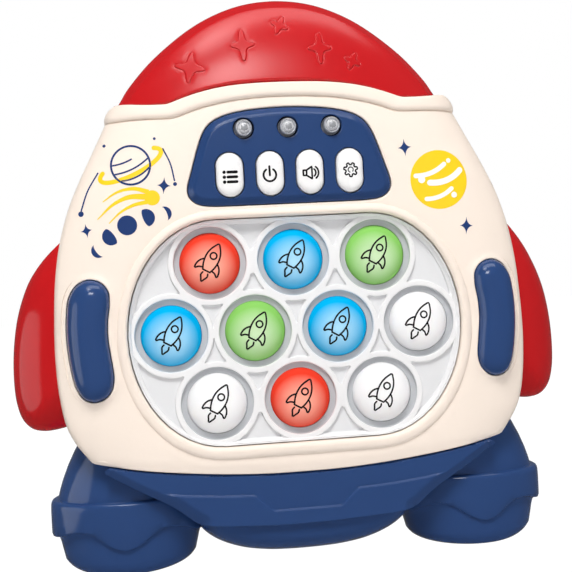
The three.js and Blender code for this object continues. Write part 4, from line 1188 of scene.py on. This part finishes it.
def pill_surface(cx):
    loop = resample(capsule(cx, BUTTON_Z, 4.22, 2.6), 0.4)

    def f(P):
        d = np.maximum(-sdf(P, loop), 0)
        t = np.clip(d / 2.2, 0, 1)
        return -4.35 + 1.9 * (1 - (1 - (1 - t) ** 2.3) ** (1 / 2.3)) + 0.006 * ((P[:, 0] - cx) ** 2) + 0.0022 * (P[:, 1] - BUTTON_Z) ** 2
    return loop, f


BUTTONS = ("menu_button", "power_button", "volume_button", "settings_button")
pill_tops = []
for name, cx in zip(BUTTONS, BUTTON_X):
    loop, f = pill_surface(cx)
    V, F = panel(loop, [], f, walls=[to_y(-0.2)], back_y=1.95, spacing=0.8, bands=(0.03, 0.1, 0.24, 0.45, 0.75, 1.15, 1.6, 2.1))
    mesh_object(name.replace("_button", "_key"), V, F, WHITE, body=name, replaces=(name,), slot="button_white", sharp=55)
    pill_tops.append(f)

# ------------------------------------------------------------------ lamps
for node, cx in zip(("led_left", "led_middle", "led_right"), LED_X):
    lens = [(0, -4.95), (0.55, -4.93), (1.0, -4.82), (1.12, -4.74), (1.3, -4.5), (1.45, -4.1), (1.5, -3.55), (1.72, -3.45), (1.95, -3.6), (2.08, -3.95), (2.26, -4.0), (2.44, -3.8), (2.56, -3.4), (2.6, -2.9),
            (2.6, -0.95), (2.68, -0.9), (2.88, -0.85), (2.88, 0.2), (0, 0.2)]
    V, F = lathe(lens, cx, LED_Z, 56)
    F = outward(V, F)
    V = np.array(V)
    r = np.hypot(V[:, 0] - cx, V[:, 2] - LED_Z)
    # Front zones by radius: core, ring with the painted reflection, outer lens.
    fm = [(1 if q < 1.06 else 2 if q < 1.75 else 0) if V[list(f), 1].mean() < -2.9 else 0 for f, q in zip(F, [r[list(f)].mean() for f in F])]
    mesh_object(node + "_lens", V, F, [LENS, LENS_CORE, LENS_RING_PAINTED_REFLECTION], replaces=(node,), slot="led_clear", sharp=50, face_mats=fm)
    # Dark ring behind and round each lens: painted shade for the depth of the lamp hole.
    V, F = lathe([(0, 0.5), (2.92, 0.5), (2.92, -0.75), (3.24, -0.75), (3.24, 1.7), (0, 1.7)], cx, LED_Z, 44)
    mesh_object(node + "_painted_shade_socket", V, outward(V, F), SOCKET_PAINTED_SHADE, slot="black_plastic", sharp=35)

# ------------------------------------------------------------------ ring plate
plate_loop = ccw(window(-0.34))
bubble_xy = np.array(BUBBLES)
bars = []
for i in range(10):
    for j in range(i + 1, 10):
        a, b_ = bubble_xy[i], bubble_xy[j]
        if np.linalg.norm(a - b_) < 27:
            flat = abs(a[1] - b_[1]) < 1 and abs(a[1]) < 1
            bars.append((a, b_, 0.9 if flat else 3.35))


def network(P):
    """Distance outside the raised rings and bars, negative inside."""
    d = np.full(len(P), 99.0)
    for c in bubble_xy:
        d = np.minimum(d, np.hypot(P[:, 0] - c[0], P[:, 1] - c[1]) - 12.95)
    for a, c, w in bars:
        t = (c - a) / np.linalg.norm(c - a)
        q = P - (a + c) / 2
        along, across = np.abs(q @ t), np.abs(q @ np.array([-t[1], t[0]]))
        d = np.minimum(d, np.maximum(along - 5, across - w))
    return d


def pocket_field(P):
    return np.minimum(network(P), -sdf(P, plate_loop) - 1.45)


def contours(f, xs, zs):
    """Closed zero lines of a grid of values, by marching squares."""
    nx, nz = len(xs), len(zs)
    g = f > 0
    cell = g[:-1, :-1].astype(int) + 2 * g[1:, :-1] + 4 * g[1:, 1:] + 8 * g[:-1, 1:]
    table = {1: [(3, 0)], 2: [(0, 1)], 3: [(3, 1)], 4: [(1, 2)], 5: [(3, 2), (1, 0)], 6: [(0, 2)], 7: [(3, 2)], 8: [(2, 3)], 9: [(2, 0)],
             10: [(2, 1), (0, 3)], 11: [(2, 1)], 12: [(1, 3)], 13: [(1, 0)], 14: [(0, 3)]}
    link = {}

    def edge(i, j, e):
        a, b = (((i, j), (i + 1, j)), ((i + 1, j), (i + 1, j + 1)), ((i + 1, j + 1), (i, j + 1)), ((i, j + 1), (i, j)))[e]
        return (min(a, b), max(a, b))
    for i, j in zip(*np.nonzero((cell > 0) & (cell < 15))):
        for a, b in table[cell[i, j]]:
            link[edge(i, j, a)] = edge(i, j, b)
    loops = []
    while link:
        k0 = next(iter(link))
        loop, k = [], k0
        while k in link:
            (a, b) = k
            t = f[a] / (f[a] - f[b])
            loop.append((xs[a[0]] + t * (xs[b[0]] - xs[a[0]]), zs[a[1]] + t * (zs[b[1]] - zs[a[1]])))
            k = link.pop(k)
        loops.append(np.array(loop))
    return loops


gx, gz = np.arange(-53, 53.1, 0.3), np.arange(-35.5, 35.6, 0.3)
G = np.stack(np.meshgrid(gx, gz, indexing="ij"), -1).reshape(-1, 2)
field = np.where(within(G, plate_loop), pocket_field(G), -1.0).reshape(len(gx), len(gz))
pockets = []
for p in contours(field, gx, gz):
    if len(p) < 12 or abs(area(p)) < 3:
        continue
    p = resample(p, 0.42)
    for _ in range(4):
        p = 0.5 * p + 0.25 * (np.roll(p, 1, 0) + np.roll(p, -1, 0))
    pockets.append(ccw(resample(p, 0.45)))


def plate_surface(P):
    d = np.maximum(-sdf(P, plate_loop), 0)
    wall = -1.25 + 1.7 * np.clip((d - 0.12) / 1.05, 0, 1) + fillet(d, 0.15)
    ledge = 0.45 * soft(np.where(d < 4, network(P), 0) + 0.1, 0.25)
    y = np.where(d < 1.17, np.minimum(wall, np.where(d > 0.9, ledge, wall)), ledge)
    for c in bubble_xy:
        r = np.hypot(P[:, 0] - c[0], P[:, 1] - c[1])
        y = y + fillet(np.maximum(r - 11.25, 0), 0.35) * (r < 13)
    for p in pockets:
        q = np.maximum(sdf(P, p, 1.0), 0)
        y = y + fillet(q, 0.22) * (q < 1)
    return y


well_loops = [circle(c[0], c[1], 11.25, 96) for c in bubble_xy]
well_rows = [circle(c[0], c[1], r, 96) for c in bubble_xy for r in (11.36, 11.5, 11.66, 12.1)]
step_rows = [circle(c[0], c[1], r, 150) for c in bubble_xy for r in (12.85, 13.0, 13.12)]
step_rows = [r[(-sdf(r, plate_loop) < 3.2)] for r in step_rows]
V, F = panel(plate_loop, well_loops + pockets, plate_surface, walls=[lambda p, y: (p, y + 4.0)],
             hole_walls=[[to_y(0.8), to_y(1.25), inset(-0.22, 1.45), inset(-1.6, 1.45), lambda p, y: (p, y + 1.2)]] * 10 + [[lambda p, y: (p, y + 0.4), to_y(1.15)]] * len(pockets),
             spacing=1.6, bands=(0.05, 0.12, 0.5, 0.88, 1.16), hole_bands=(0.11, 0.24), rows=well_rows + [r for r in step_rows if len(r)], row_gap=0.3)
b = Build().add(V, F)
for p in pockets:
    Pf, Tf, _ = fill2d(p, [], spacing=1.8, bands=(0.4,))
    b.add(np.stack([Pf[:, 0], np.full(len(Pf), 1.15), Pf[:, 1]], 1), [tuple(t) for t in Tf])
allv = np.vstack(b.V)
cen = np.array([allv[list(f)].mean(0) for f in b.F])
rad = np.min([np.hypot(cen[:, 0] - c[0], cen[:, 2] - c[1]) for c in bubble_xy], axis=0)
# Well faces round each dome take the darker groove grey: painted shade for the occlusion there.
b.M = [1 if (r < 11.3 and c[1] > 0.5) else 0 for r, c in zip(rad, cen)]
# Pocket floors take the darker pocket grey: painted shade.
poc = len(F)
b.M[poc:] = [2] * (len(b.F) - poc)
plate = b.obj("bubble_plate", [GREY, GROOVE_PAINTED_SHADE, POCKET_PAINTED_SHADE], replaces=("ring_plate",), slot="insert_grey", sharp=32)
bm = bmesh.new()
bm.from_mesh(plate.data)
bmesh.ops.remove_doubles(bm, verts=bm.verts, dist=2e-6)
bm.to_mesh(plate.data)
bm.free()
sol = plate.modifiers.new("wall", "SOLIDIFY")
sol.thickness, sol.offset = 0.0005, -1


# ------------------------------------------------------------------ bubbles
def dome_y(r):
    t = np.clip(np.asarray(r, float) / 9.4, 0, 1)
    return -2.4 + 4.6 * (1 - (1 - t ** 2.5) ** 0.5)


SLOT = {"r": "silicone_red", "b": "silicone_blue", "g": "silicone_green", "w": "silicone_white"}


def rocket_icon():
    """A plain pictogram: pointed body, round window, two fins and a flame, drawn upright about (0, 0)."""
    parts = []
    body_r = [(0, 6.35), (0.85, 5.35), (1.6, 4.0), (2.08, 2.3), (2.12, 0.4), (1.75, -1.4), (1.2, -2.75)]
    body = [(-x, z) for x, z in body_r[::-1]] + body_r[1:]
    parts.append(stroke(spline(body, 0.3, closed=False), 0.5, step=0.3))
    parts.append(stroke([(-1.25, -2.75), (1.25, -2.75)], 0.5, step=0.3))
    for s in (1, -1):
        fin = [(s * 2.1, 0.5), (s * 3.1, -0.4), (s * 3.75, -1.8), (s * 3.7, -3.3), (s * 2.7, -2.5), (s * 1.45, -2.15)]
        parts.append(stroke(spline(fin, 0.3, closed=False), 0.5, step=0.3))
    parts.append(stroke(circle(0, 2.3, 1.02, 28), 0.5, closed=True, step=0.25))
    flame = [(-0.85, -3.5), (-1.05, -4.4), (-0.55, -5.4), (0, -6.3), (0.55, -5.4), (1.05, -4.4), (0.85, -3.5)]
    parts.append(stroke(spline(flame, 0.3, closed=False), 0.5, step=0.3))
    return parts


icon = rocket_icon()
# which colour belongs to which node: nodes are numbered row by row from the top left
prof_r = np.concatenate([[0], np.array([0.7, 1.5, 2.3, 3.1, 3.9, 4.7, 5.5, 6.2, 6.9, 7.5, 8.0, 8.4, 8.75, 9.0, 9.18, 9.3, 9.37, 9.4])])
for k, ((cx, cz), col) in enumerate(zip(BUBBLES, COLOURS)):
    node = "bubble_%d" % (k + 1)
    prof = [(float(r), float(dome_y(r))) for r in prof_r] + [(9.4, 4.8), (10.7, 4.9), (10.7, 5.7), (7.8, 5.7), (7.4, 2.7), (2.2, 0.5), (2.0, 5.9), (0, 5.9)]
    V, F = lathe(prof, cx, cz, 96)
    # Painted glow: a paler crown centred a little left of and below each dome's middle, fading to painted shade at the
    # rim; none on the flange.
    g = 1 - np.clip(np.hypot(V[:, 0] - cx + 0.3, V[:, 2] - cz + 1.0) / 9.6, 0, 1) ** 1.7
    g[V[:, 1] > 2.2] = 0
    mesh_object("dome_%d" % (k + 1), V, outward(V, F), SILICONE[col], body=node, replaces=(node,), slot=SLOT[col], sharp=50, attrs={"painted_glow": g})
    b = Build()
    for P, T in icon:
        Q = turned(P, -29, cx - 0.1, cz + 0.15)
        b.add(*decal(Q, T, lambda q: dome_y(np.hypot(q[:, 0] - cx, q[:, 1] - cz)), 0.05, 0.03))
    b.obj("dome_icon_%d" % (k + 1), [INK_BLACK], body=node, slot="black_plastic", sharp=None)


# ------------------------------------------------------------------ symbols on the keys
def symbols(i):
    cx, out = BUTTON_X[i], []
    if i == 0:
        for dz in (1.5, 0, -1.5):
            out.append((circle(-1.85, dz - 0.9, 0.52, 18), None))
            out.append(stroke([(-0.75, dz - 0.9), (1.95, dz - 0.9)], 0.85, step=0.3))
    elif i == 1:
        a = np.radians(np.linspace(90 + 34, 450 - 34, 60))
        out.append(stroke(np.stack([1.95 * np.cos(a), 1.95 * np.sin(a) - 0.3], 1) - np.array([0.35, 0]), 0.62, step=0.25))
        out.append(stroke([(-0.4, 2.3), (-0.35, -0.45)], 0.62, step=0.25))
    elif i == 2:
        out.append(stroke([(-1.35, -0.8), (-2.35, -0.8), (-2.35, 0.8), (-1.35, 0.8), (-1.35, -0.8)], 0.54, step=0.2))
        out.append(stroke([(-1.35, 0.8), (0.35, 1.9), (0.35, -1.9), (-1.35, -0.8)], 0.54, step=0.2))
        for r in (1.35, 2.2):
            a = np.radians(np.linspace(-52, 52, 24))
            out.append(stroke(np.stack([0.2 + r * np.cos(a), r * np.sin(a)], 1), 0.54, step=0.2))
    else:
        a = np.linspace(0, 2 * math.pi, 161)[:-1]
        r = 1.85 + 0.32 * np.tanh(2.6 * np.cos(7 * a + math.pi / 2 * 7))
        out.append(stroke(np.stack([r * np.cos(a), r * np.sin(a)], 1), 0.46, closed=True, step=0.16))
        a = np.radians(np.linspace(-40, 250, 40))
        out.append(stroke(np.stack([0.8 * np.cos(a), 0.8 * np.sin(a)], 1), 0.32, step=0.2))
    return out


for i, name in enumerate(BUTTONS):
    b = Build()
    for P, T in symbols(i):
        if T is None:
            c = P.mean(0)
            P, T = np.vstack([P, c]), np.array([(k, (k + 1) % len(P), len(P)) for k in range(len(P))])
        Q = P + np.array([BUTTON_X[i], BUTTON_Z + (0.15, -0.3, -0.42, 0.0)[i]])
        b.add(*decal(Q, T, pill_tops[i], 0.05, 0.03))
    b.obj(name.replace("_button", "_symbol"), [INK_BLACK], body=name, slot="black_plastic", sharp=None)

# ------------------------------------------------------------------ prints on the casing: a made-up sky in the photo's colours
def ink(name, mat, ribbons=(), solids=(), lift=0.05, slot="blue_plastic"):
    b = Build()
    for P, T in ribbons:
        b.add(*decal(P, T, print_surface, lift, 0.05))
    for outer, holes in solids:
        P, T, _ = fill2d(outer, holes, spacing=0.9, bands=(), hole_bands=())
        b.add(*decal(P, T, print_surface, lift, 0.05))
    return b.obj(name, [mat], slot=slot, sharp=35)


def disc(cx, cz, r, n=40):
    return (circle(cx, cz, r, n), [])


def crescent(cx, cz, r, k, deg, n=30):
    """Moon whose dark limb bulges by k (1 = new, -1 = full)."""
    a = np.linspace(-math.pi / 2, math.pi / 2, n)
    outer = np.stack([r * np.cos(a), r * np.sin(a)], 1)
    inner = np.stack([k * r * np.cos(a), r * np.sin(a)], 1)[::-1][1:-1]
    return (ccw(turned(np.vstack([outer, inner]), deg, cx, cz)), [])


def taper(pts, w0, w1, n=30):
    p = spline(pts, 0.5, closed=False)
    e = np.gradient(p, axis=0)
    e /= np.linalg.norm(e, axis=1)[:, None]
    w = np.linspace(w0, w1, len(p))[:, None] / 2
    nr = np.stack([-e[:, 1], e[:, 0]], 1)
    return (ccw(np.vstack([p + nr * w, (p - nr * w)[::-1]])), [])


planet = (-48.6, 52.6)
ring_pts = turned([(10.2 * math.cos(t), 3.0 * math.sin(t)) for t in np.radians(np.linspace(148, 392, 70))], 24, *planet)
navy_lines = [stroke(circle(*planet, 5.9, 60), 0.62, closed=True)]
for zz, k in ((2.4, 0.9), (-0.4, 1.0), (-3.1, 0.8)):
    h = math.sqrt(5.6 ** 2 - zz ** 2)
    navy_lines.append(stroke(turned([(x, zz - 0.9 * (1 - (x / h) ** 2)) for x in np.linspace(-h * 0.98, h * (0.2 if zz > 2 else 0.98), 16)], 24, *planet), 0.5))
orbit = [(-64.2, 39.6), (-61.9, 45.6), (-58.6, 50.8)]
navy_lines.append(stroke(spline(orbit, 0.4, closed=False), 0.45))
navy_lines.append(stroke(spline([(-38.6, 57.2), (-36.6, 52.6), (-35.6, 47.4)], 0.4, closed=False), 0.45))
moons = [(-59.6, 27.2, 2.2, 0.35, 215), (-55.6, 31.3, 2.7, -0.35, 215), (-50.6, 34.4, 3.0, -1.0, 0), (-44.8, 36.4, 2.7, -0.35, 20), (-39.2, 37.4, 2.2, 0.35, 20)]
navy_solids = [crescent(*m) for m in moons] + [(star4(-62.9, 33.4, 1.75, 0.22, 8), []), (star4(-38.9, 46.0, 2.1, 0.22, -6), []), disc(-64.3, 38.6, 0.85, 20), disc(-35.5, 46.3, 0.6, 16),
                                               disc(-56.3, 59.2, 0.5, 14), disc(-41.0, 60.4, 0.42, 14)]
ink("sky_print_blue", INK_BLUE, navy_lines, navy_solids)
comet = [disc(-42.6, 42.4, 2.3), taper([(-43.6, 44.2), (-48.0, 45.4), (-53.0, 44.6), (-57.6, 41.8)], 1.5, 0.25), taper([(-44.4, 42.8), (-49.5, 42.9), (-54.4, 40.9), (-59.4, 36.6)], 1.9, 0.25),
         taper([(-44.2, 41.2), (-48.4, 40.4), (-52.4, 38.4), (-56.0, 35.2)], 1.3, 0.25)]
ink("sky_print_yellow", INK_YELLOW, [stroke(ring_pts, 1.35)], comet, slot="cream_plastic")

big = (47.4, 44.3)
ink("planet_print_yellow", INK_YELLOW, (), [(circle(*big, 9.3, 90), [])], slot="cream_plastic")
bands = []
for z0, x0, x1, w, bend in ((3.9, -6.6, 3.4, 1.5, 1.0), (0.2, -3.2, 7.6, 1.9, 1.3), (-4.1, -6.2, 2.6, 1.4, 0.9)):
    mid = [(x, z0 - bend * (1 - ((x - x0) / (x1 - x0) * 2 - 1) ** 2)) for x in np.linspace(x0, x1, 14)]
    bands.append(stroke(turned(mid, 20, *big), w, step=0.5))
ink("planet_print_bands", INK_WHITE, bands, [disc(big[0] - 5.7, big[1] + 0.2, 1.15, 24), disc(big[0] + 4.6, big[1] - 5.0, 0.95, 22), disc(big[0] + 3.4, big[1] + 5.9, 0.75, 20)], lift=0.09, slot="cream_plastic")
ink("star_print_right", INK_BLUE, (), [(star4(36.8, 54.8, 2.2, 0.2, 4), []), (star4(55.5, 29.4, 2.2, 0.2, -4), [])])


# ------------------------------------------------------------------ battery door and screws
def screw_head(name, cx, cz, y, r, body, replaces):
    """Pan-head screw facing +y with a cross recess."""
    loop = circle(cx, cz, r, 44)
    w, L = 0.19 * r, 0.62 * r

    def top(P):
        x, z = P[:, 0] - cx, P[:, 1] - cz
        rr = np.hypot(x, z)
        h = y - 0.55 * (rr / r) ** 2.4
        arm = np.minimum(np.maximum(np.abs(x) - w, np.abs(z) - L), np.maximum(np.abs(z) - w, np.abs(x) - L))
        return h - (1.1 - 0.55 * rr / r) * soft(-arm + 0.02, 0.16)
    cross = []
    for d in (-0.1, 0.02, 0.14):
        a, c = w + d, L + d
        cross.append(resample([(a, a), (a, c), (-a, c), (-a, a), (-c, a), (-c, -a), (-a, -a), (-a, -c), (a, -c), (a, -a), (c, -a), (c, a)], 0.16) + np.array([cx, cz]))
    V, F = panel(loop, [], top, walls=[lambda p, yy: (p, yy - 0.9)], back_y=y - 1.6, flip=True, spacing=0.35, bands=(0.08, 0.2), rows=cross, row_gap=0.4)
    V2, F2 = lathe([(0, y - 6.0), (0.5, y - 5.6), (1.1, y - 4.6), (1.1, y - 1.5), (0, y - 1.5)], cx, cz, 24)
    b = Build().add(V, F).add(V2, outward(V2, F2))
    return b.obj(name, [STEEL], body=body, replaces=replaces, slot="steel", sharp=35)


for i, (x, z) in enumerate(SCREWS):
    lo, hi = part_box("case_screw_%d" % (i + 1))
    cx, cz = 500 * (lo.x + hi.x), None
    screw_head("case_screw_head_%d" % (i + 1), cx, min(SCREWS, key=lambda s: abs(s[0] - cx) + abs(s[1] - (500 * (lo.z + hi.z) - FLOOR)))[1], 21.4, 2.6, "casing", ("case_screw_%d" % (i + 1),))

door_loop = resample(rounded_box(-28.0, 28.0, -28.0, 19.5, 2.5), 1.0)
door_screw = circle(0, -23.2, 3.2, 40)
ridges = [(0, 14.6 - 2.1 * k) for k in range(3)]


def door_surface(P):
    y = back_face(P * np.array([0.6, 1.0])) - fillet(np.maximum(-sdf(P, door_loop), 0), 0.6)
    # finger catch: three bars in a shallow scoop near the top edge
    e = np.maximum(np.abs(P[:, 0]) / 11.5, np.abs(P[:, 1] - 12.6) / 4.8)
    y = y - 0.55 * (1 - soft(e - 0.86, 0.14))
    for k in range(3):
        a = np.maximum(np.abs(P[:, 0]) - 8.8, np.abs(P[:, 1] - (10.0 + 2.6 * k)) - 0.55)
        y = y + 0.55 * soft(-a + 0.25, 0.4)
    d = np.maximum(sdf(P, door_screw, 3), 0)
    return y - fillet(d, 0.4) * (d < 3)


catch_rows = [resample(rounded_box(-11.5 * k, 11.5 * k, 12.6 - 4.8 * k, 12.6 + 4.8 * k, 0.6), 0.8) for k in (0.85, 0.93, 1.01)]
for k in range(3):
    for g in (0.0, 0.35):
        catch_rows.append(resample(rounded_box(-8.8 - g, 8.8 + g, 10.0 + 2.6 * k - 0.5 - g, 10.0 + 2.6 * k + 0.5 + g, 0.4), 0.6))
V, F = panel(door_loop, [door_screw], door_surface, walls=[lambda p, y: (p, y - 1.6)], hole_walls=[lambda p, y: (p, y - 1.5), inset(-0.1, 36.3), inset(-1.2, 36.25)],
             flip=True, spacing=2.4, bands=(0.1, 0.3, 0.65), hole_bands=(0.15, 0.42), rows=catch_rows)
door = mesh_object("battery_lid", V, F, CREAM, body="battery_cover", replaces=("battery_door",), slot="cream_plastic", sharp=30)
sol = door.modifiers.new("wall", "SOLIDIFY")
sol.thickness, sol.offset = 0.0014, -1
screw_head("battery_lid_screw", 0, -23.2, 37.7, 2.6, "battery_cover", ("battery_door_screw",))

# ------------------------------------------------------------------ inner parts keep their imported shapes
INNER_MATS = {"keypad": RUBBER, "control_board": BOARD, "main_board": BOARD, "light_frame": INNER, "speaker": BLACK, "battery_box": INNER,
              "battery_contact_left": STEEL, "battery_contact_right": STEEL, "power_lead": WIRE, "speaker_lead": WIRE,
              "battery_1": CELL, "battery_2": CELL, "battery_3": CELL}
for node, mat in INNER_MATS.items():
    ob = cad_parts[node]
    ob.data.materials.clear()
    ob.data.materials.append(mat)

# ------------------------------------------------------------------ floor, light and world
def stage_plane():
    n = 64
    a = np.arange(n) * 2 * math.pi / n
    V = [(0, 0, 0)] + [(r * math.cos(t), r * math.sin(t), 0) for r in (0.5, 2.5) for t in a]
    F = [(0, 1 + i, 1 + (i + 1) % n) for i in range(n)] + [(1 + i, 1 + n + i, 1 + n + (i + 1) % n, 1 + (i + 1) % n) for i in range(n)]
    me = bpy.data.meshes.new("floor")
    me.from_pydata([(x, y, z - 0.0002) for x, y, z in V], [], F)
    ob = bpy.data.objects.new("floor", me)
    bpy.context.collection.objects.link(ob)
    m, t, b, N, L = new_material("pale_floor")
    tc = N.new("ShaderNodeTexCoord")
    n1 = N.new("ShaderNodeTexNoise")
    n1.inputs["Scale"].default_value = 3.0
    L.new(tc.outputs["Object"], n1.inputs["Vector"])
    mr = N.new("ShaderNodeMapRange")
    mr.inputs["To Min"].default_value, mr.inputs["To Max"].default_value = 0.80, 0.82
    L.new(n1.outputs["Fac"], mr.inputs["Value"])
    L.new(mr.outputs["Result"], b.inputs["Base Color"])
    b.inputs["Roughness"].default_value = 0.9
    b.inputs["Specular IOR Level"].default_value = 0.0
    em = N.new("ShaderNodeEmission")
    em.inputs["Color"].default_value, em.inputs["Strength"].default_value = (1, 1, 1, 1), 1.08
    lp = N.new("ShaderNodeLightPath")
    k = N.new("ShaderNodeMath")
    k.operation = "MULTIPLY"
    k.inputs[1].default_value = 0.96
    L.new(lp.outputs["Is Camera Ray"], k.inputs[0])
    mix = N.new("ShaderNodeMixShader")
    L.new(k.outputs["Value"], mix.inputs[0])
    L.new(b.outputs["BSDF"], mix.inputs[1])
    L.new(em.outputs["Emission"], mix.inputs[2])
    L.new(mix.outputs["Shader"], N["Material Output"].inputs["Surface"])
    me.materials.append(m)
    ob.visible_glossy = False


stage_plane()


def area(name, loc, target, sx, sy, watts, colour=(1, 1, 1)):
    d = bpy.data.lights.new(name, "AREA")
    d.shape, d.size, d.size_y, d.energy, d.color = "RECTANGLE", sx, sy, watts, colour
    ob = bpy.data.objects.new(name, d)
    ob.location = loc
    ob.rotation_euler = (Vector(target) - Vector(loc)).to_track_quat("-Z", "Y").to_euler()
    bpy.context.collection.objects.link(ob)
    return ob


key = area("key", (-0.14, -0.52, 0.88), (0, 0, 0.1), 0.30, 0.30, 7.35, (1.0, 0.99, 0.97))
key.visible_glossy = False
area("key_highlight", (-0.16, -0.50, 0.70), (0, 0, 0.1), 0.20, 0.18, 0.6)
front = area("front_highlight", (-0.05, -0.95, 0.59), (0, 0, 0.155), 0.26, 0.18, 2.0)
front.visible_diffuse = False
over = area("top_softbox", (0.10, -0.40, 1.07), (0, -0.01, 0.165), 1.1, 0.44, 5.0)
over.visible_diffuse = False
soft_fill = area("front_fill", (0.12, -1.0, 0.16), (0, 0, 0.07), 0.8, 0.28, 1.1, (1.0, 0.94, 0.97))
soft_fill.visible_glossy = False
softbox = area("left_softbox", (-0.77, -0.21, 0.02), (0, 0.0, 0.03), 0.72, 0.54, 1.55)
softbox.data.shape = "ELLIPSE"
softbox.visible_diffuse = False
left_fill = area("left_fill", (-0.9, -0.55, 0.2), (0, 0, 0.09), 0.6, 0.6, 0.2)
left_fill.visible_glossy = False
right_fill = area("right_fill", (0.9, -0.5, 0.35), (0, 0, 0.09), 0.6, 0.8, 1.2)
right_fill.visible_glossy = False
for name, x in (("back_fill_left", -0.75), ("back_fill_right", 0.75)):
    back_fill = area(name, (x, 0.95, 0.45), (0, 0, 0.09), 0.7, 0.7, 4.6)
    back_fill.visible_glossy = False

world = bpy.data.worlds.new("studio")
bpy.context.scene.world = world
world.use_nodes = True
wt = world.node_tree
bg = wt.nodes["Background"]
bg.inputs["Color"].default_value, bg.inputs["Strength"].default_value = (1, 1, 1, 1), 0.15
bg2 = wt.nodes.new("ShaderNodeBackground")
bg2.inputs["Color"].default_value, bg2.inputs["Strength"].default_value = (1, 1, 1, 1), 1.0
lp = wt.nodes.new("ShaderNodeLightPath")
mx = wt.nodes.new("ShaderNodeMixShader")
wt.links.new(lp.outputs["Is Camera Ray"], mx.inputs[0])
wt.links.new(bg.outputs["Background"], mx.inputs[1])
wt.links.new(bg2.outputs["Background"], mx.inputs[2])
wt.links.new(mx.outputs["Shader"], wt.nodes["World Output"].inputs["Surface"])
bpy.context.scene.view_settings.view_transform = "Standard"
bpy.context.scene.view_settings.look = "None"
